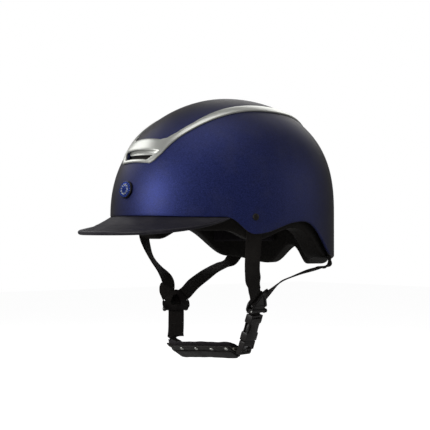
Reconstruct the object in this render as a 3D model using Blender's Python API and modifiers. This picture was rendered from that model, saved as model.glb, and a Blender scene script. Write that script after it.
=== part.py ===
"""Equestrian riding helmet with a ventilated shell, peak, liner and a four-point harness.

Metres, +Z up. The peak points to -Y and the wearer's left is +X. The origin lies on the
crown's vertical axis, level with the line where the peak meets the shell.
"""

import math

import bmesh
import bpy
from mathutils import Matrix, Vector

MM = 0.001
GAP = 0.3 * MM  # running gap between neighbouring pieces

# Shell: half width, reach to the front and to the rear, and crown height above the origin
HALF_WIDTH = 109.3 * MM
FRONT_REACH = 149.0 * MM
REAR_REACH = 127.5 * MM
CROWN_HEIGHT = 137.7 * MM
REAR_SQUARENESS = 2.34  # exponent of the rear plan curve; 2 is an ellipse
PROFILE_FRONT = (2.19, 1.88)  # exponents of the upright profile, front and rear
PROFILE_REAR = (2.74, 1.99)

# Rim heights in mm at angles from the front in degrees
SHELL_RIM = ((0, 0), (57.5, -1.5), (71, -20), (96, -6), (127, -45), (160, -51), (180, -30))
FOAM_RIM = ((0, -14), (57, -16), (72, -26.5), (93, -13.5), (125, -48), (160, -56), (180, -34))

# Layers, as insets from the shell's outer surface
SHELL_WALL = 3.0 * MM
FOAM_OUTER = 6.4 * MM
FOAM_INNER = 27.0 * MM
PAD_OUTER = 29.3 * MM
PAD_INNER = 35.5 * MM

# Vent frame and its arms, as half widths in mm at angles over the crown in degrees
TRIM_OUTER = ((23.4, 25), (25, 29), (29, 33.6), (33.6, 36.2), (38.2, 39), (46.3, 45.4), (55, 50),
              (64.4, 53.5), (74.3, 56), (84.6, 58), (95.3, 59.4), (104, 59.3), (110, 57.2), (116, 53.4),
              (122, 48.6), (128, 43.2))
TRIM_INNER = ((23.4, 17), (25, 19), (29.7, 28.5), (33, 25), (36, 22), (37.3, 28), (41.6, 33.9), (50, 39.6),
              (59.6, 42.2), (69.6, 43.8), (79, 46.1), (89, 47.9), (98, 49.2), (105, 48.9), (112, 46.8),
              (118, 44.3), (124, 42.2), (128, 41.2))
TRIM_START, SLOT_BOTTOM, SLOT_TOP, FRAME_TOP, TRIM_END = 23.4, 25.0, 29.7, 36.0, 128.0
TRIM_THICKNESS = 1.8 * MM
SLOT_HALF_WIDTHS = (19.0 * MM, 28.5 * MM)
WINDOW_MARGIN, DUCT_MARGIN, VENT_MESH_MARGIN = 1.5 * MM, -2.0 * MM, 0.9 * MM  # beyond the slot
WINDOW_REACH, DUCT_REACH = (0.08, 0.17), (0.05, 0.17)  # distances ahead that each cut spans
VENT_MESH_INSETS = (2.2 * MM, 1.2 * MM)

# Badge: height of its centre, and (radius, height) profiles in mm run down their outer sides
BADGE_HEIGHT = 28.8 * MM
BADGE_BASE = ((0, 2.0), (8.2, 2.0), (8.2, 3.0), (9.2, 3.2), (10, 2.6), (10, 0.35), (0, 0.35))
BADGE_FACE = ((0, 3.6), (5.2, 3.5), (7.8, 2.9), (7.8, 2.3), (0, 2.3))

# Pads: angles from the front in degrees and heights in mm; the side ones have a twin
BROW_SPAN = ((-58, 58), (-10, 18))
TEMPLE_SPAN = ((62, 86), (-14, 20))
NAPE_SPAN = ((112, 168), (-30, 4))
CROWN_PAD_FOOT = 72.0 * MM
HOOK_DOTS = {"brow_left": (34, 4), "brow_right": (-34, 4),
             "nape_left": (140, -12), "nape_right": (-140, -12)}
HOOK_RADIUS, HOOK_LAYER = 6.0 * MM, (-1.7 * MM, -0.8 * MM)

# Peak
PEAK_HALF_ANGLE = 55.0  # degrees from the front to each end
PEAK_HALF_WIDTH = 97.0 * MM
PEAK_ROOT_Y = -81.0 * MM
PEAK_TIP_Y = -189.0 * MM
PEAK_SQUARENESS = 2.15
LIP_DROP = 20.0 * MM
LIP_HEIGHT = 5.0 * MM
LIP_END_BOTTOM, LIP_END_HEIGHT = 3.6 * MM, 1.6 * MM  # where the lip runs out at the peak's ends
LIP_NOSE = 0.9 * MM
PEAK_SKIRT_INSET = -0.2 * MM

# Webbing
WEB_WIDTH = 20.0 * MM
WEB_THICKNESS = 1.4 * MM
WEB_INSET = 4.9 * MM
FRONT_ANCHOR = (71.0, -1.1)  # degrees from the front, height in mm
CAP_PROFILE = ((0, 1.7), (2.2, 1.55), (3.5, 0.95), (3.9, 0.35), (2.0, 0.35), (2.0, -6.0), (0, -6.0))  # mm
ANCHOR_HOLE_RADIUS = 2.4 * MM
REAR_PLATE_SPAN, REAR_PLATE_FOOT, REAR_PLATE_HEIGHT = 11.0, -25.2 * MM, 9.0 * MM
REAR_PLATE_INSETS = (5.6 * MM, 4.2 * MM)
REAR_STRAP_ANGLE = 131.0
FRONT_WEB_WIDTH = 19.0 * MM
REAR_WEB_WIDTH = 16.0 * MM
WEB_IN_DIVIDER = -0.3 * MM

FRONT_IN_SHELL, REAR_IN_SHELL = (9, -3, -20), (-46, -37, -26)  # heights of the stops in mm
FRONT_IN_DIVIDER = {  # stops in mm in the divider's frame
    1: ((-13.4, 13.2), (-9.8, 8.2), (-6.8, 3.9)),
    -1: ((-9.2, 13.6), (-8.2, 8.6), (-6.8, 3.9)),
}
REAR_IN_DIVIDER = ((8.2, 4.9), (12.2, 7.6))
LOWER_IN_DIVIDER = (-4.6, -11.5)
LOWER_ROUTE = ((-73.5, -17.5, -127), (-70, -20.8, -139), (-67.4, -23.0, -147.6))  # wearer's right
LOWER_ACROSS = (0.1, -1, 0.1)
# Stops in mm and directions across, from shell to divider: 1 is the wearer's left, -1 the right
FRONT_ROUTES = {
    1: (((98.6, -48.0, -34), (0.25, 0.96, -0.1)), ((97, -47.8, -50), (0.18, 0.96, -0.2)),
        ((94, -45, -63), (0.05, 0.95, -0.33)), ((90.5, -40.2, -74), (-0.06, 0.9, -0.43))),
    -1: (((-98, -43.5, -34), (-0.42, 0.9, 0.05)), ((-95, -37.5, -50), (-0.62, 0.77, 0.1)),
         ((-90.5, -27.5, -65), (-0.52, 0.82, 0.2)), ((-89.6, -17.4, -78.6), (-0.05, 0.85, 0.4))),
}
REAR_ROUTES = {
    1: (((81.1, -9.3, -86.1), (-0.65, 0.55, -0.5)), ((88, 4, -73.5), (-0.83, 0.5, -0.15)),
        ((90, 24, -67), (-0.97, 0.17, -0.19)),
        ((91.5, 46, -61.5), (-0.95, 0.25, 0)), ((90.5, 63, -58.2), (-0.9, 0.5, 0)),
        ((87, 78, -56), (-0.8, 0.6, 0))),
    -1: (((-79.8, 3.6, -91.0), (0.4, 0.46, -0.79)), ((-86, 20, -82), (0.6, 0, -0.8)),
         ((-88.5, 38, -73), (0.7, 0, -0.7)),
         ((-90, 54, -65.5), (0.8, -0.1, -0.5)), ((-89.5, 67, -60.5), (0.9, 0.3, -0.3)),
         ((-86.5, 78.5, -56), (0.8, 0.6, 0))),
}

# Dividers, in their own frame: u across, v up, w outwards
DIVIDER_BASE = (32, -13, 13, 2.0)  # width, bottom, top and the tip's shift in mm
FLAP_HALF_WIDTHS, FLAP_HEIGHTS = (12.2, 15.2, 3.2), (-9, -4.6, -2.4, 12.4)  # foot, wings and tip in mm
FLAP_TIP_SHIFT = 1.5
BASE_LAYER = (-3.2 * MM, -1.4 * MM)  # from and to, outwards
FLAP_LAYER = (0.9 * MM, 2.7 * MM)
EAR_FOOT = -2.4 * MM
PIN_RADIUS = 1.0 * MM
PIN_CLEARANCE = 0.3 * MM
KNUCKLE_RADIUS = 2.0 * MM
PIN_V, PIN_W = -9.0 * MM, 3.1 * MM
EAR_INSIDE, EAR_OUTSIDE = 12.6 * MM, 15.0 * MM
HARNESS_TURN = 16.0  # degrees that dividers and buckle turn to the rear
HARNESS_TILT = 18.0  # degrees that they lean in towards the chin

# Buckle, in its own frame
BUCKLE_WIDTH = 23.0 * MM
BUCKLE_DEPTH = 8.0 * MM
FEMALE_TOP, FEMALE_MOUTH = 16.0 * MM, -14.0 * MM
CAVITY_WIDTH, CAVITY_DEPTH, CAVITY_TOP = 18.6 * MM, 4.8 * MM, 10.0 * MM
MALE_BOTTOM = -31.0 * MM
MALE_SLOTS = {"upper": (-23.6 * MM, -20.2 * MM), "lower": (-28.4 * MM, -25.8 * MM)}
WEB_SLOT_WIDTH = 19.2 * MM
WINDOW_BOTTOM, WINDOW_TOP, WINDOW_DEPTH = -4.0 * MM, 6.0 * MM, 3.8 * MM
TONGUE_WIDTH, TONGUE_DEPTH, TONGUE_TOP = 4.4 * MM, 3.4 * MM, 6.0 * MM
PRONG_OUTLINE = ((-1.8, -1.4), (1.6, -1.4), (1.6, 14), (0.6, 18.5), (-1.0, 19.5), (-1.8, 18))  # mm
PRONG_DEPTH = 3.6 * MM
PRONG_PIVOT = (7.0 * MM, -12.0 * MM)

DIVIDER_LEFT = Vector((82.5, -26.0, -96.0)) * MM
DIVIDER_RIGHT = Vector((-81.5, -13.0, -101.0)) * MM
BUCKLE_CENTRE = Vector((73.6, -28.6, -124.6)) * MM

# Chin strap: centre line from the buckle to the wearer's right, in mm
CHIN_ROUTE = ((59.4, -31.8, -148.0), (50, -32, -151.0), (24, -33.5, -152.6), (0, -35, -153.6),
              (-28, -35, -155.4), (-50, -32, -157.0), (-62, -28, -155.2), (-67, -24.5, -150.4))
CHIN_ACROSS = (0.0, -0.87, 0.5)
CHIN_ACROSS_FIRST, CHIN_ACROSS_LAST = (0.276, -0.961, 0), (0.1, -1, 0.1)
PAD_SHIFT, PAD_THICKNESS = 3.4 * MM, 4.5 * MM
STUD_PROFILE = ((0, 1.1), (1.6, 1.0), (2.4, 0.5), (2.4, 0), (0, 0))  # mm
CHIN_PAD_WIDTH = 24.0 * MM
COVER_THICKNESS = 1.4 * MM
COVER_SHIFT = 1.8 * MM
CHIN_STEPS = 26
COVERED_STEPS = (4, 20)  # the part of the chin strap under the pad and its cover
STUD_OFFSET = 8.8 * MM
STUD_PLACES = (45.0, 20.5, -4.0, -28.5)  # in mm, across the face

parts = None
cutters = None


# ---------------------------------------------------------------- scene and materials

def clear_scene():
    for item in list(bpy.data.objects):
        bpy.data.objects.remove(item, do_unlink=True)


def new_collection(name):
    found = bpy.data.collections.new(name)
    bpy.context.scene.collection.children.link(found)
    return found


def material(name, colour, roughness, metallic=0.0):
    found = bpy.data.materials.get(name) or bpy.data.materials.new(name)
    found.use_nodes = True
    shader = found.node_tree.nodes["Principled BSDF"]
    shader.inputs["Base Color"].default_value = (*colour, 1.0)
    shader.inputs["Roughness"].default_value = roughness
    shader.inputs["Metallic"].default_value = metallic
    return found


def paint():
    return material("navy_paint", (0.022, 0.032, 0.115), 0.42)


def trim_metal():
    return material("satin_metal", (0.62, 0.63, 0.60), 0.25, 1.0)


def plastic():
    return material("black_plastic", (0.016, 0.014, 0.015), 0.45)


def peak_skin():
    return material("peak_skin", (0.045, 0.042, 0.052), 0.5)


def foam():
    return material("foam", (0.012, 0.011, 0.010), 0.8)


def webbing_cloth():
    return material("webbing", (0.014, 0.011, 0.010), 0.75)


def pad_cloth():
    return material("pad_cloth", (0.011, 0.009, 0.011), 0.85)


def stone():
    return material("stone", (0.15, 0.25, 0.62), 0.08)


# ---------------------------------------------------------------- object helpers

def finish(mesh, name, skin, place=None):
    """Make an object of a mesh, in the collection of parts."""
    made = bpy.data.objects.new(name, mesh)
    made.data.materials.append(skin)
    if place is not None:
        made.matrix_world = place
    parts.objects.link(made)
    mesh.shade_smooth()
    mesh.set_sharp_from_angle(angle=math.radians(35))
    return made


def to_mesh(bm, name, recalculate=True):
    if recalculate:
        bmesh.ops.recalc_face_normals(bm, faces=bm.faces)
        if bm.calc_volume(signed=True) < 0:
            bmesh.ops.reverse_faces(bm, faces=bm.faces)
    mesh = bpy.data.meshes.new(name)
    bm.to_mesh(mesh)
    bm.free()
    return mesh


def hide_cutter(cutter):
    cutter.hide_render = True
    cutter.display_type = "WIRE"
    for home in list(cutter.users_collection):
        home.objects.unlink(cutter)
    cutters.objects.link(cutter)


def combine(target, tool, operation):
    hide_cutter(tool)
    modifier = target.modifiers.new(tool.name, "BOOLEAN")
    modifier.operation = operation
    modifier.solver = "EXACT"
    modifier.object = tool
    return target


def block(name, low, high, skin=None, place=None):
    """A box between two corners, in the frame of `place`."""
    low, high = Vector(low), Vector(high)
    bm = bmesh.new()
    bmesh.ops.create_cube(bm, size=1.0)
    size = high - low
    bmesh.ops.scale(bm, vec=size, verts=bm.verts)
    bmesh.ops.translate(bm, vec=(low + high) / 2, verts=bm.verts)
    return finish(to_mesh(bm, name), name, skin or plastic(), place)


def rod(name, radius, start, end, skin=None, place=None, sides=16):
    """A cylinder between two points, in the frame of `place`."""
    start, end = Vector(start), Vector(end)
    along = end - start
    bm = bmesh.new()
    bmesh.ops.create_cone(bm, cap_ends=True, segments=sides, radius1=radius, radius2=radius,
                          depth=along.length)
    turn = Vector((0, 0, 1)).rotation_difference(along).to_matrix().to_4x4()
    bmesh.ops.transform(bm, matrix=Matrix.Translation((start + end) / 2) @ turn, verts=bm.verts)
    return finish(to_mesh(bm, name), name, skin or plastic(), place)


def plate(name, outline, low, high, skin=None, place=None):
    """A flat outline in (u, v), given its thickness from w=low to w=high."""
    bm = bmesh.new()
    face = bm.faces.new([bm.verts.new((u, v, low)) for u, v in outline])
    grown = bmesh.ops.extrude_face_region(bm, geom=[face])["geom"]
    moved = [item for item in grown if isinstance(item, bmesh.types.BMVert)]
    bmesh.ops.translate(bm, vec=(0, 0, high - low), verts=moved)
    return finish(to_mesh(bm, name), name, skin or plastic(), place)


def turned(name, profile, skin, place, sides=20):
    """A turned piece about w, from (radius, height) points run down the outer side."""
    bm = bmesh.new()
    made = [bm.verts.new((radius, 0, height)) for radius, height in profile]
    for first, second in zip(made, made[1:]):
        bm.edges.new((first, second))
    mesh = to_mesh(bm, name, recalculate=False)
    found = finish(mesh, name, skin, place)
    screw = found.modifiers.new("turn", "SCREW")
    screw.steps = sides
    screw.render_steps = sides
    screw.use_merge_vertices = True
    screw.merge_threshold = 0.00001
    screw.use_smooth_shade = True
    return found


# ---------------------------------------------------------------- the shell's surface

def ease(share):
    share = min(max(share, 0.0), 1.0)
    return share * share * (3 - 2 * share)


def read_table(table, at):
    """A height or width between the stations of a table, eased at each station."""
    for (a, low), (b, high) in zip(table, table[1:]):
        if at <= b:
            return low + (high - low) * (1 - math.cos(math.pi * (at - a) / (b - a))) / 2
    return table[-1][1]


def read_line(table, at):
    for (a, low), (b, high) in zip(table, table[1:]):
        if at <= b:
            return low + (high - low) * (at - a) / (b - a)
    return table[-1][1]


def rim(table, angle):
    """Rim height at an angle from the front, in radians."""
    return read_table(table, abs(math.degrees(angle))) * MM


def profile_powers(angle):
    share = ease((1 - math.cos(angle)) / 2)
    return tuple(a + (b - a) * share for a, b in zip(PROFILE_FRONT, PROFILE_REAR))


def signed_power(value, power):
    return math.copysign(abs(value) ** power, value)


def surface(angle, height, inset=0.0):
    """A point on the shell: angle from the front towards +X in radians, height, inset."""
    rise, spread = profile_powers(angle)
    share = min(max(height / (CROWN_HEIGHT - inset), 0.0), 1.0)
    scale = max(1 - share ** rise, 0.0) ** (1 / spread)
    to_rear = math.cos(angle) < 0
    power = 2 / (REAR_SQUARENESS if to_rear else 2)
    reach = (REAR_REACH if to_rear else FRONT_REACH) - inset
    x = (HALF_WIDTH - inset) * signed_power(math.sin(angle), power) * scale
    y = -reach * signed_power(math.cos(angle), power) * scale
    return Vector((x, y, height))


def level(point, inset):
    """Below zero inside the surface at this inset, and above zero outside."""
    to_rear = point.y > 0
    power = REAR_SQUARENESS if to_rear else 2
    reach = (REAR_REACH if to_rear else FRONT_REACH) - inset
    across, along = abs(point.x) / (HALF_WIDTH - inset), abs(point.y) / reach
    radius = (across ** power + along ** power) ** (1 / power)
    angle = math.atan2(across ** (power / 2), math.copysign(along ** (power / 2), -point.y))
    rise, spread = profile_powers(angle)
    share = min(max(point.z / (CROWN_HEIGHT - inset), 0.0), 1.0)
    return radius - max(1 - share ** rise, 0.0) ** (1 / spread)


def meet(start, direction, inset):
    """Where a line from inside the shell meets its surface at this inset."""
    low, high = 0.02, 0.25
    for _ in range(40):
        middle = (low + high) / 2
        if level(start + direction * middle, inset) < 0:
            low = middle
        else:
            high = middle
    return start + direction * low


def over_crown(x, degrees, inset):
    """The surface point at x from the middle, at an angle from the front over the crown."""
    angle = math.radians(degrees)
    return meet(Vector((x, 0, 0)), Vector((0, -math.cos(angle), math.sin(angle))), inset)


def on_front(x, z, inset):
    """The surface point straight ahead of (x, z)."""
    return meet(Vector((x, 0, z)), Vector((0, -1, 0)), inset)


def surface_frame(point_at, a, b, step):
    """A frame on the surface: u across, v up and w outwards, at the point (a, b)."""
    origin = point_at(a, b)
    across = point_at(a + step[0], b) - point_at(a - step[0], b)
    up = point_at(a, b + step[1]) - point_at(a, b - step[1])
    outwards = across.cross(up).normalized()
    up = outwards.cross(across).normalized()
    return frame_of(across.normalized(), up, outwards, origin)


def frame_of(across, up, outwards, origin):
    made = Matrix((across, up, outwards)).transposed().to_4x4()
    made.translation = origin
    return made


def slab(bm, name, place_of, skin):
    """Close an open sheet into a slab: place_of(unit, side) gives the inner (0) and outer (1) sides."""
    units = {vert: vert.co.copy() for vert in bm.verts}
    grown = bmesh.ops.extrude_face_region(bm, geom=bm.faces[:], use_keep_orig=True)["geom"]
    moved = [item for item in grown if isinstance(item, bmesh.types.BMVert)]
    outer_units = {vert: vert.co.copy() for vert in moved}
    for side, found in enumerate((units, outer_units)):
        for vert, unit in found.items():
            vert.co = place_of(unit, side)
    return finish(to_mesh(bm, name), name, skin)


def dome(name, outer, inner, rim_height, skin, segments, rings):
    """A closed cap between two insets of the shell's surface: half a UV sphere laid on it."""
    bm = bmesh.new()
    made = bmesh.ops.create_uvsphere(bm, u_segments=segments, v_segments=rings * 2, radius=1.0)["verts"]
    bmesh.ops.delete(bm, geom=[vert for vert in made if vert.co.z < -0.001], context="VERTS")

    def place_of(unit, side):
        inset = (inner, outer)[side]
        angle = math.atan2(unit.x, -unit.y)
        foot = rim_height(angle)
        return surface(angle, foot + (CROWN_HEIGHT - inset - foot) * min(max(unit.z, 0), 1), inset)

    return slab(bm, name, place_of, skin)


def grid_solid(name, point_at, columns, rows, skin):
    """A closed slab from a grid: point_at(i, j, side), with i and j from 0 to 1."""
    bm = bmesh.new()
    bmesh.ops.create_grid(bm, x_segments=columns, y_segments=rows, size=0.5)
    return slab(bm, name, lambda unit, side: point_at(unit.x + 0.5, unit.y + 0.5, side), skin)


def band(name, angles, heights, insets, skin, columns, rows):
    """A pad on the inside of the liner, between two angles in degrees and two heights in mm."""
    def point_at(i, j, side):
        angle = math.radians(angles[0] + (angles[1] - angles[0]) * i)
        height = (heights[0] + (heights[1] - heights[0]) * j) * MM
        return surface(angle, height, insets[side])
    return grid_solid(name, point_at, columns, rows, skin)


# ---------------------------------------------------------------- shell, liner and peak

def slot_outline(grow):
    """The window behind the vent frame's opening: low and high edges with their half widths."""
    low, high = (over_crown(0, at, 0).z for at in (SLOT_BOTTOM, SLOT_TOP))
    narrow, wide = SLOT_HALF_WIDTHS
    return low - grow, narrow + grow, high + grow, wide + grow


def slot_cutter(name, grow, reach):
    """A wedge through the front of the shell or liner, between two distances ahead."""
    low, narrow, high, wide = slot_outline(grow)
    outline = ((-narrow, low), (narrow, low), (wide, high), (-wide, high))
    place = frame_of(Vector((1, 0, 0)), Vector((0, 0, 1)), Vector((0, -1, 0)), Vector((0, 0, 0)))
    return plate(name, outline, reach[0], reach[1], place=place)


def make_shell():
    shell = dome("outer_shell", 0, SHELL_WALL, lambda angle: rim(SHELL_RIM, angle), paint(), 64, 10)
    combine(shell, slot_cutter("shell_window", WINDOW_MARGIN, WINDOW_REACH), "DIFFERENCE")
    for side in (-1, 1):
        place = anchor_frame(side)
        hole = rod(f"shell_hole_{side}", ANCHOR_HOLE_RADIUS, (0, 0, -0.02), (0, 0, 0.02), place=place)
        combine(shell, hole, "DIFFERENCE")
    return shell


def make_liner():
    liner = dome("foam_liner", FOAM_OUTER, FOAM_INNER, lambda angle: rim(FOAM_RIM, angle), foam(), 48, 8)
    combine(liner, slot_cutter("liner_duct", DUCT_MARGIN, DUCT_REACH), "DIFFERENCE")
    return liner


def peak_outline(share):
    """The peak's edge in plan, for share from -1 (wearer's right) to 1 (left)."""
    angle = share * math.pi / 2
    power = 2 / PEAK_SQUARENESS
    x = PEAK_HALF_WIDTH * signed_power(math.sin(angle), power)
    y = PEAK_ROOT_Y + (PEAK_TIP_Y - PEAK_ROOT_Y) * max(math.cos(angle), 0.0) ** power
    return Vector((x, y, 0))


def peak_section(share):
    """The peak's closed section, from the liner out along the top and back underneath."""
    angle = math.radians(PEAK_HALF_ANGLE) * share
    top = rim(SHELL_RIM, angle) - 0.35 * MM
    inner = surface(angle, 0, FOAM_OUTER - 0.5 * MM)
    skirt = surface(angle, 0, PEAK_SKIRT_INSET)
    edge = peak_outline(share)
    reach = edge - skirt
    fullness = max(1 - abs(share) ** 3.2, 0.0) ** 0.9
    lip_bottom = -LIP_END_BOTTOM - (LIP_DROP - LIP_END_BOTTOM) * fullness
    lip_top = lip_bottom + LIP_END_HEIGHT + (LIP_HEIGHT - LIP_END_HEIGHT) * fullness
    return (
        inner + Vector((0, 0, top)),
        skirt + Vector((0, 0, top)),
        skirt + reach * 0.5 + Vector((0, 0, top + (lip_top - top) * 0.42)),
        edge + Vector((0, 0, lip_top)),
        edge + reach.normalized() * LIP_NOSE + Vector((0, 0, (lip_top + lip_bottom) / 2)),
        edge + Vector((0, 0, lip_bottom)),
        edge - reach.normalized() * min(4 * MM, reach.length * 0.4) + Vector((0, 0, lip_bottom)),
        skirt + reach * 0.45 + Vector((0, 0, min(top + (lip_top - top) * 0.4 - 3 * MM, top - 2.2 * MM))),
        inner + Vector((0, 0, top - 4.2 * MM)),
    )


def make_peak(stations=33):
    bm = bmesh.new()
    rows = [[bm.verts.new(point) for point in peak_section(2 * i / (stations - 1) - 1)]
            for i in range(stations)]
    count = len(rows[0])
    for first, second in zip(rows, rows[1:]):
        for k in range(count):
            after = (k + 1) % count
            bm.faces.new((first[k], first[after], second[after], second[k]))
    bm.faces.new(rows[0])
    bm.faces.new(reversed(rows[-1]))
    return finish(to_mesh(bm, "peak"), "peak", peak_skin())


# ---------------------------------------------------------------- trim, vent and badge

def trim_rows():
    """Angles over the crown at which the trim's outline is read."""
    steps = [TRIM_START, SLOT_BOTTOM, 27.3, SLOT_TOP, 33.0, FRAME_TOP, 37.3]
    steps += [41.6 + (TRIM_END - 41.6) * k / 22 for k in range(23)]
    return steps


def make_trim(arm_columns=2, middle_columns=8):
    """The vent frame and its two arms as one open sheet, thickened outwards."""
    bm = bmesh.new()
    rows = []
    for at in trim_rows():
        outer, inner = read_line(TRIM_OUTER, at) * MM, read_line(TRIM_INNER, at) * MM
        across = [-outer + (outer - inner) * k / arm_columns for k in range(arm_columns)]
        across += [-inner + 2 * inner * k / middle_columns for k in range(middle_columns + 1)]
        across += [inner + (outer - inner) * (k + 1) / arm_columns for k in range(arm_columns)]
        rows.append((at, [bm.verts.new(over_crown(x, at, -GAP)) for x in across]))
    for (low, first), (high, second) in zip(rows, rows[1:]):
        open_here = low >= FRAME_TOP or (low >= SLOT_BOTTOM and high <= SLOT_TOP)
        for k in range(len(first) - 1):
            in_middle = arm_columns <= k < arm_columns + middle_columns
            if not (open_here and in_middle):
                bm.faces.new((first[k], first[k + 1], second[k + 1], second[k]))
    loose = [vert for vert in bm.verts if not vert.link_faces]
    bmesh.ops.delete(bm, geom=loose, context="VERTS")
    trim = finish(to_mesh(bm, "vent_trim", recalculate=False), "vent_trim", trim_metal())
    thicken = trim.modifiers.new("thickness", "SOLIDIFY")
    thicken.thickness = TRIM_THICKNESS
    thicken.offset = 1
    return trim


def make_vent_mesh():
    """The dark grille in the shell's window, just under the shell's outer face."""
    low, narrow, high, wide = slot_outline(VENT_MESH_MARGIN)

    def point_at(i, j, side):
        half = narrow + (wide - narrow) * j
        return on_front(half * (2 * i - 1), low + (high - low) * j, VENT_MESH_INSETS[side])
    return grid_solid("vent_mesh", point_at, 10, 2, plastic())


def make_badge():
    place = surface_frame(lambda x, z: on_front(x, z, 0), 0, BADGE_HEIGHT, (0.004, 0.004))
    turned("badge_base", [(r * MM, h * MM) for r, h in BADGE_BASE], plastic(), place, 28)
    turned("badge_face", [(r * MM, h * MM) for r, h in BADGE_FACE], stone(), place, 24)


# ---------------------------------------------------------------- liner pads

def make_pads():
    layers = (PAD_OUTER, PAD_INNER)
    band("brow_pad", *BROW_SPAN, layers, pad_cloth(), 16, 2)
    dome("crown_pad", PAD_OUTER, PAD_INNER, lambda angle: CROWN_PAD_FOOT, pad_cloth(), 24, 3)
    for side, label in ((1, "left"), (-1, "right")):
        for name, (angles, heights), columns in (("temple_pad", TEMPLE_SPAN, 4), ("nape_pad", NAPE_SPAN, 8)):
            turned_angles = [angle * side for angle in angles]
            band(f"{name}_{label}", turned_angles, heights, layers, pad_cloth(), columns, 2)
    make_hook_dots()


def make_hook_dots():
    """Hook fastener discs that hold the pads to the liner."""
    for label, (angle, height) in HOOK_DOTS.items():
        place = surface_frame(lambda a, z: surface(a, z, FOAM_INNER), math.radians(angle), height * MM,
                              (0.02, 0.004))
        rod(f"hook_dot_{label}", HOOK_RADIUS, (0, 0, HOOK_LAYER[0]), (0, 0, HOOK_LAYER[1]), plastic(), place)


# ---------------------------------------------------------------- webbing

def along_route(points, share):
    """A Catmull-Rom curve through the points."""
    spans = len(points) - 1
    at = min(share * spans, spans - 1e-9)
    k = int(at)
    t = at - k
    p = [points[min(max(k + i, 0), spans)] for i in (-1, 0, 1, 2)]
    return 0.5 * (2 * p[1] + (p[2] - p[0]) * t + (2 * p[0] - 5 * p[1] + 4 * p[2] - p[3]) * t * t
                  + (3 * p[1] - p[0] - 3 * p[2] + p[3]) * t ** 3)


def web_frame(points, acrosses, share):
    """The centre, the direction across and the direction off the face, part way along a route."""
    centre = along_route(points, share)
    ahead = along_route(points, min(share + 0.01, 1)) - along_route(points, max(share - 0.01, 0))
    ahead.normalize()
    across = along_route(acrosses, share)
    across = (across - ahead * across.dot(ahead)).normalized()
    return centre, across, ahead.cross(across)


def strap(name, stops, steps, skin, width=WEB_WIDTH, shift=0.0, thickness=WEB_THICKNESS, part=(0.0, 1.0)):
    """Flat webbing through (point, across) stops in mm. shift moves it off its own plane."""
    points = [Vector(point) * MM for point, _ in stops]
    acrosses = [Vector(across).normalized() for _, across in stops]

    def point_at(i, j, side):
        centre, across, face = web_frame(points, acrosses, part[0] + (part[1] - part[0]) * i)
        lift = shift + thickness * (side - 0.5)
        return centre + across * (j - 0.5) * width + face * lift

    return grid_solid(name, point_at, steps, 1, skin)


def side_frame(side, origin):
    """The frame of a divider or buckle: v up, w outwards; a mirror image on the right side."""
    turn, tilt = math.radians(HARNESS_TURN), math.radians(HARNESS_TILT)
    across = Vector((-math.sin(turn) * side, math.cos(turn), 0))
    level_out = Vector((math.cos(turn) * side, math.sin(turn), 0))
    up = level_out * math.sin(tilt) + Vector((0, 0, math.cos(tilt)))
    outwards = level_out * math.cos(tilt) - Vector((0, 0, math.sin(tilt)))
    return frame_of(across * side, up, outwards, origin)


def anchor_frame(side):
    angle = math.radians(FRONT_ANCHOR[0] * side)
    return surface_frame(lambda a, z: surface(a, z), angle, FRONT_ANCHOR[1] * MM, (0.02, 0.002))


def tangent(side, angle):
    """The level direction along the shell at an angle from the front."""
    first, second = (surface(math.radians((angle + k) * side), 0) for k in (-1, 1))
    return (second - first).normalized()


def in_mm(point):
    return tuple(value / MM for value in point)


def make_straps(side, label, divider):
    """Front, rear and lower webbing of one side; the three meet inside the divider."""
    turn = divider.to_3x3()
    front_along = tangent(side, FRONT_ANCHOR[0])
    rear_along = tangent(side, REAR_STRAP_ANGLE)

    def in_shell(angle, height):
        return in_mm(surface(math.radians(angle * side), height * MM, WEB_INSET))

    def in_divider(u, v):
        return in_mm(divider @ Vector((u * side * MM, v * MM, WEB_IN_DIVIDER)))

    across_front = turn @ Vector((0.8 * side, 0.6, 0))
    stops = [(in_shell(FRONT_ANCHOR[0], height), front_along) for height in FRONT_IN_SHELL]
    stops += FRONT_ROUTES[side]
    stops += [(in_divider(u, v), across_front) for u, v in FRONT_IN_DIVIDER[side]]
    front = strap(f"front_strap_{label}", stops, 22, webbing_cloth(), width=FRONT_WEB_WIDTH)
    combine(front, rod(f"strap_hole_{label}", ANCHOR_HOLE_RADIUS, (0, 0, -0.02), (0, 0, 0.02),
                       place=anchor_frame(side)), "DIFFERENCE")

    across_rear = turn @ Vector((0.55 * side, -0.83, 0))
    stops = [(in_divider(u, v), across_rear) for u, v in REAR_IN_DIVIDER]
    stops += REAR_ROUTES[side]
    stops += [(in_shell(REAR_STRAP_ANGLE, height), rear_along) for height in REAR_IN_SHELL]
    strap(f"rear_strap_{label}", stops, 30, webbing_cloth(), width=REAR_WEB_WIDTH)

    across_lower = turn @ Vector((side, 0, 0))
    stops = [(in_divider(0, v), across_lower) for v in LOWER_IN_DIVIDER]
    if side > 0:
        lower_end = [(in_mm(buckle_frame() @ Vector((0, FEMALE_TOP + 2 * GAP, 0))), across_lower)]
    else:
        lower_end = [(point, across_lower) for point in LOWER_ROUTE[:-1]] + [(LOWER_ROUTE[-1], LOWER_ACROSS)]
    stops += lower_end
    strap(f"lower_strap_{label}", stops, 4 + 4 * len(lower_end), webbing_cloth())


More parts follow.
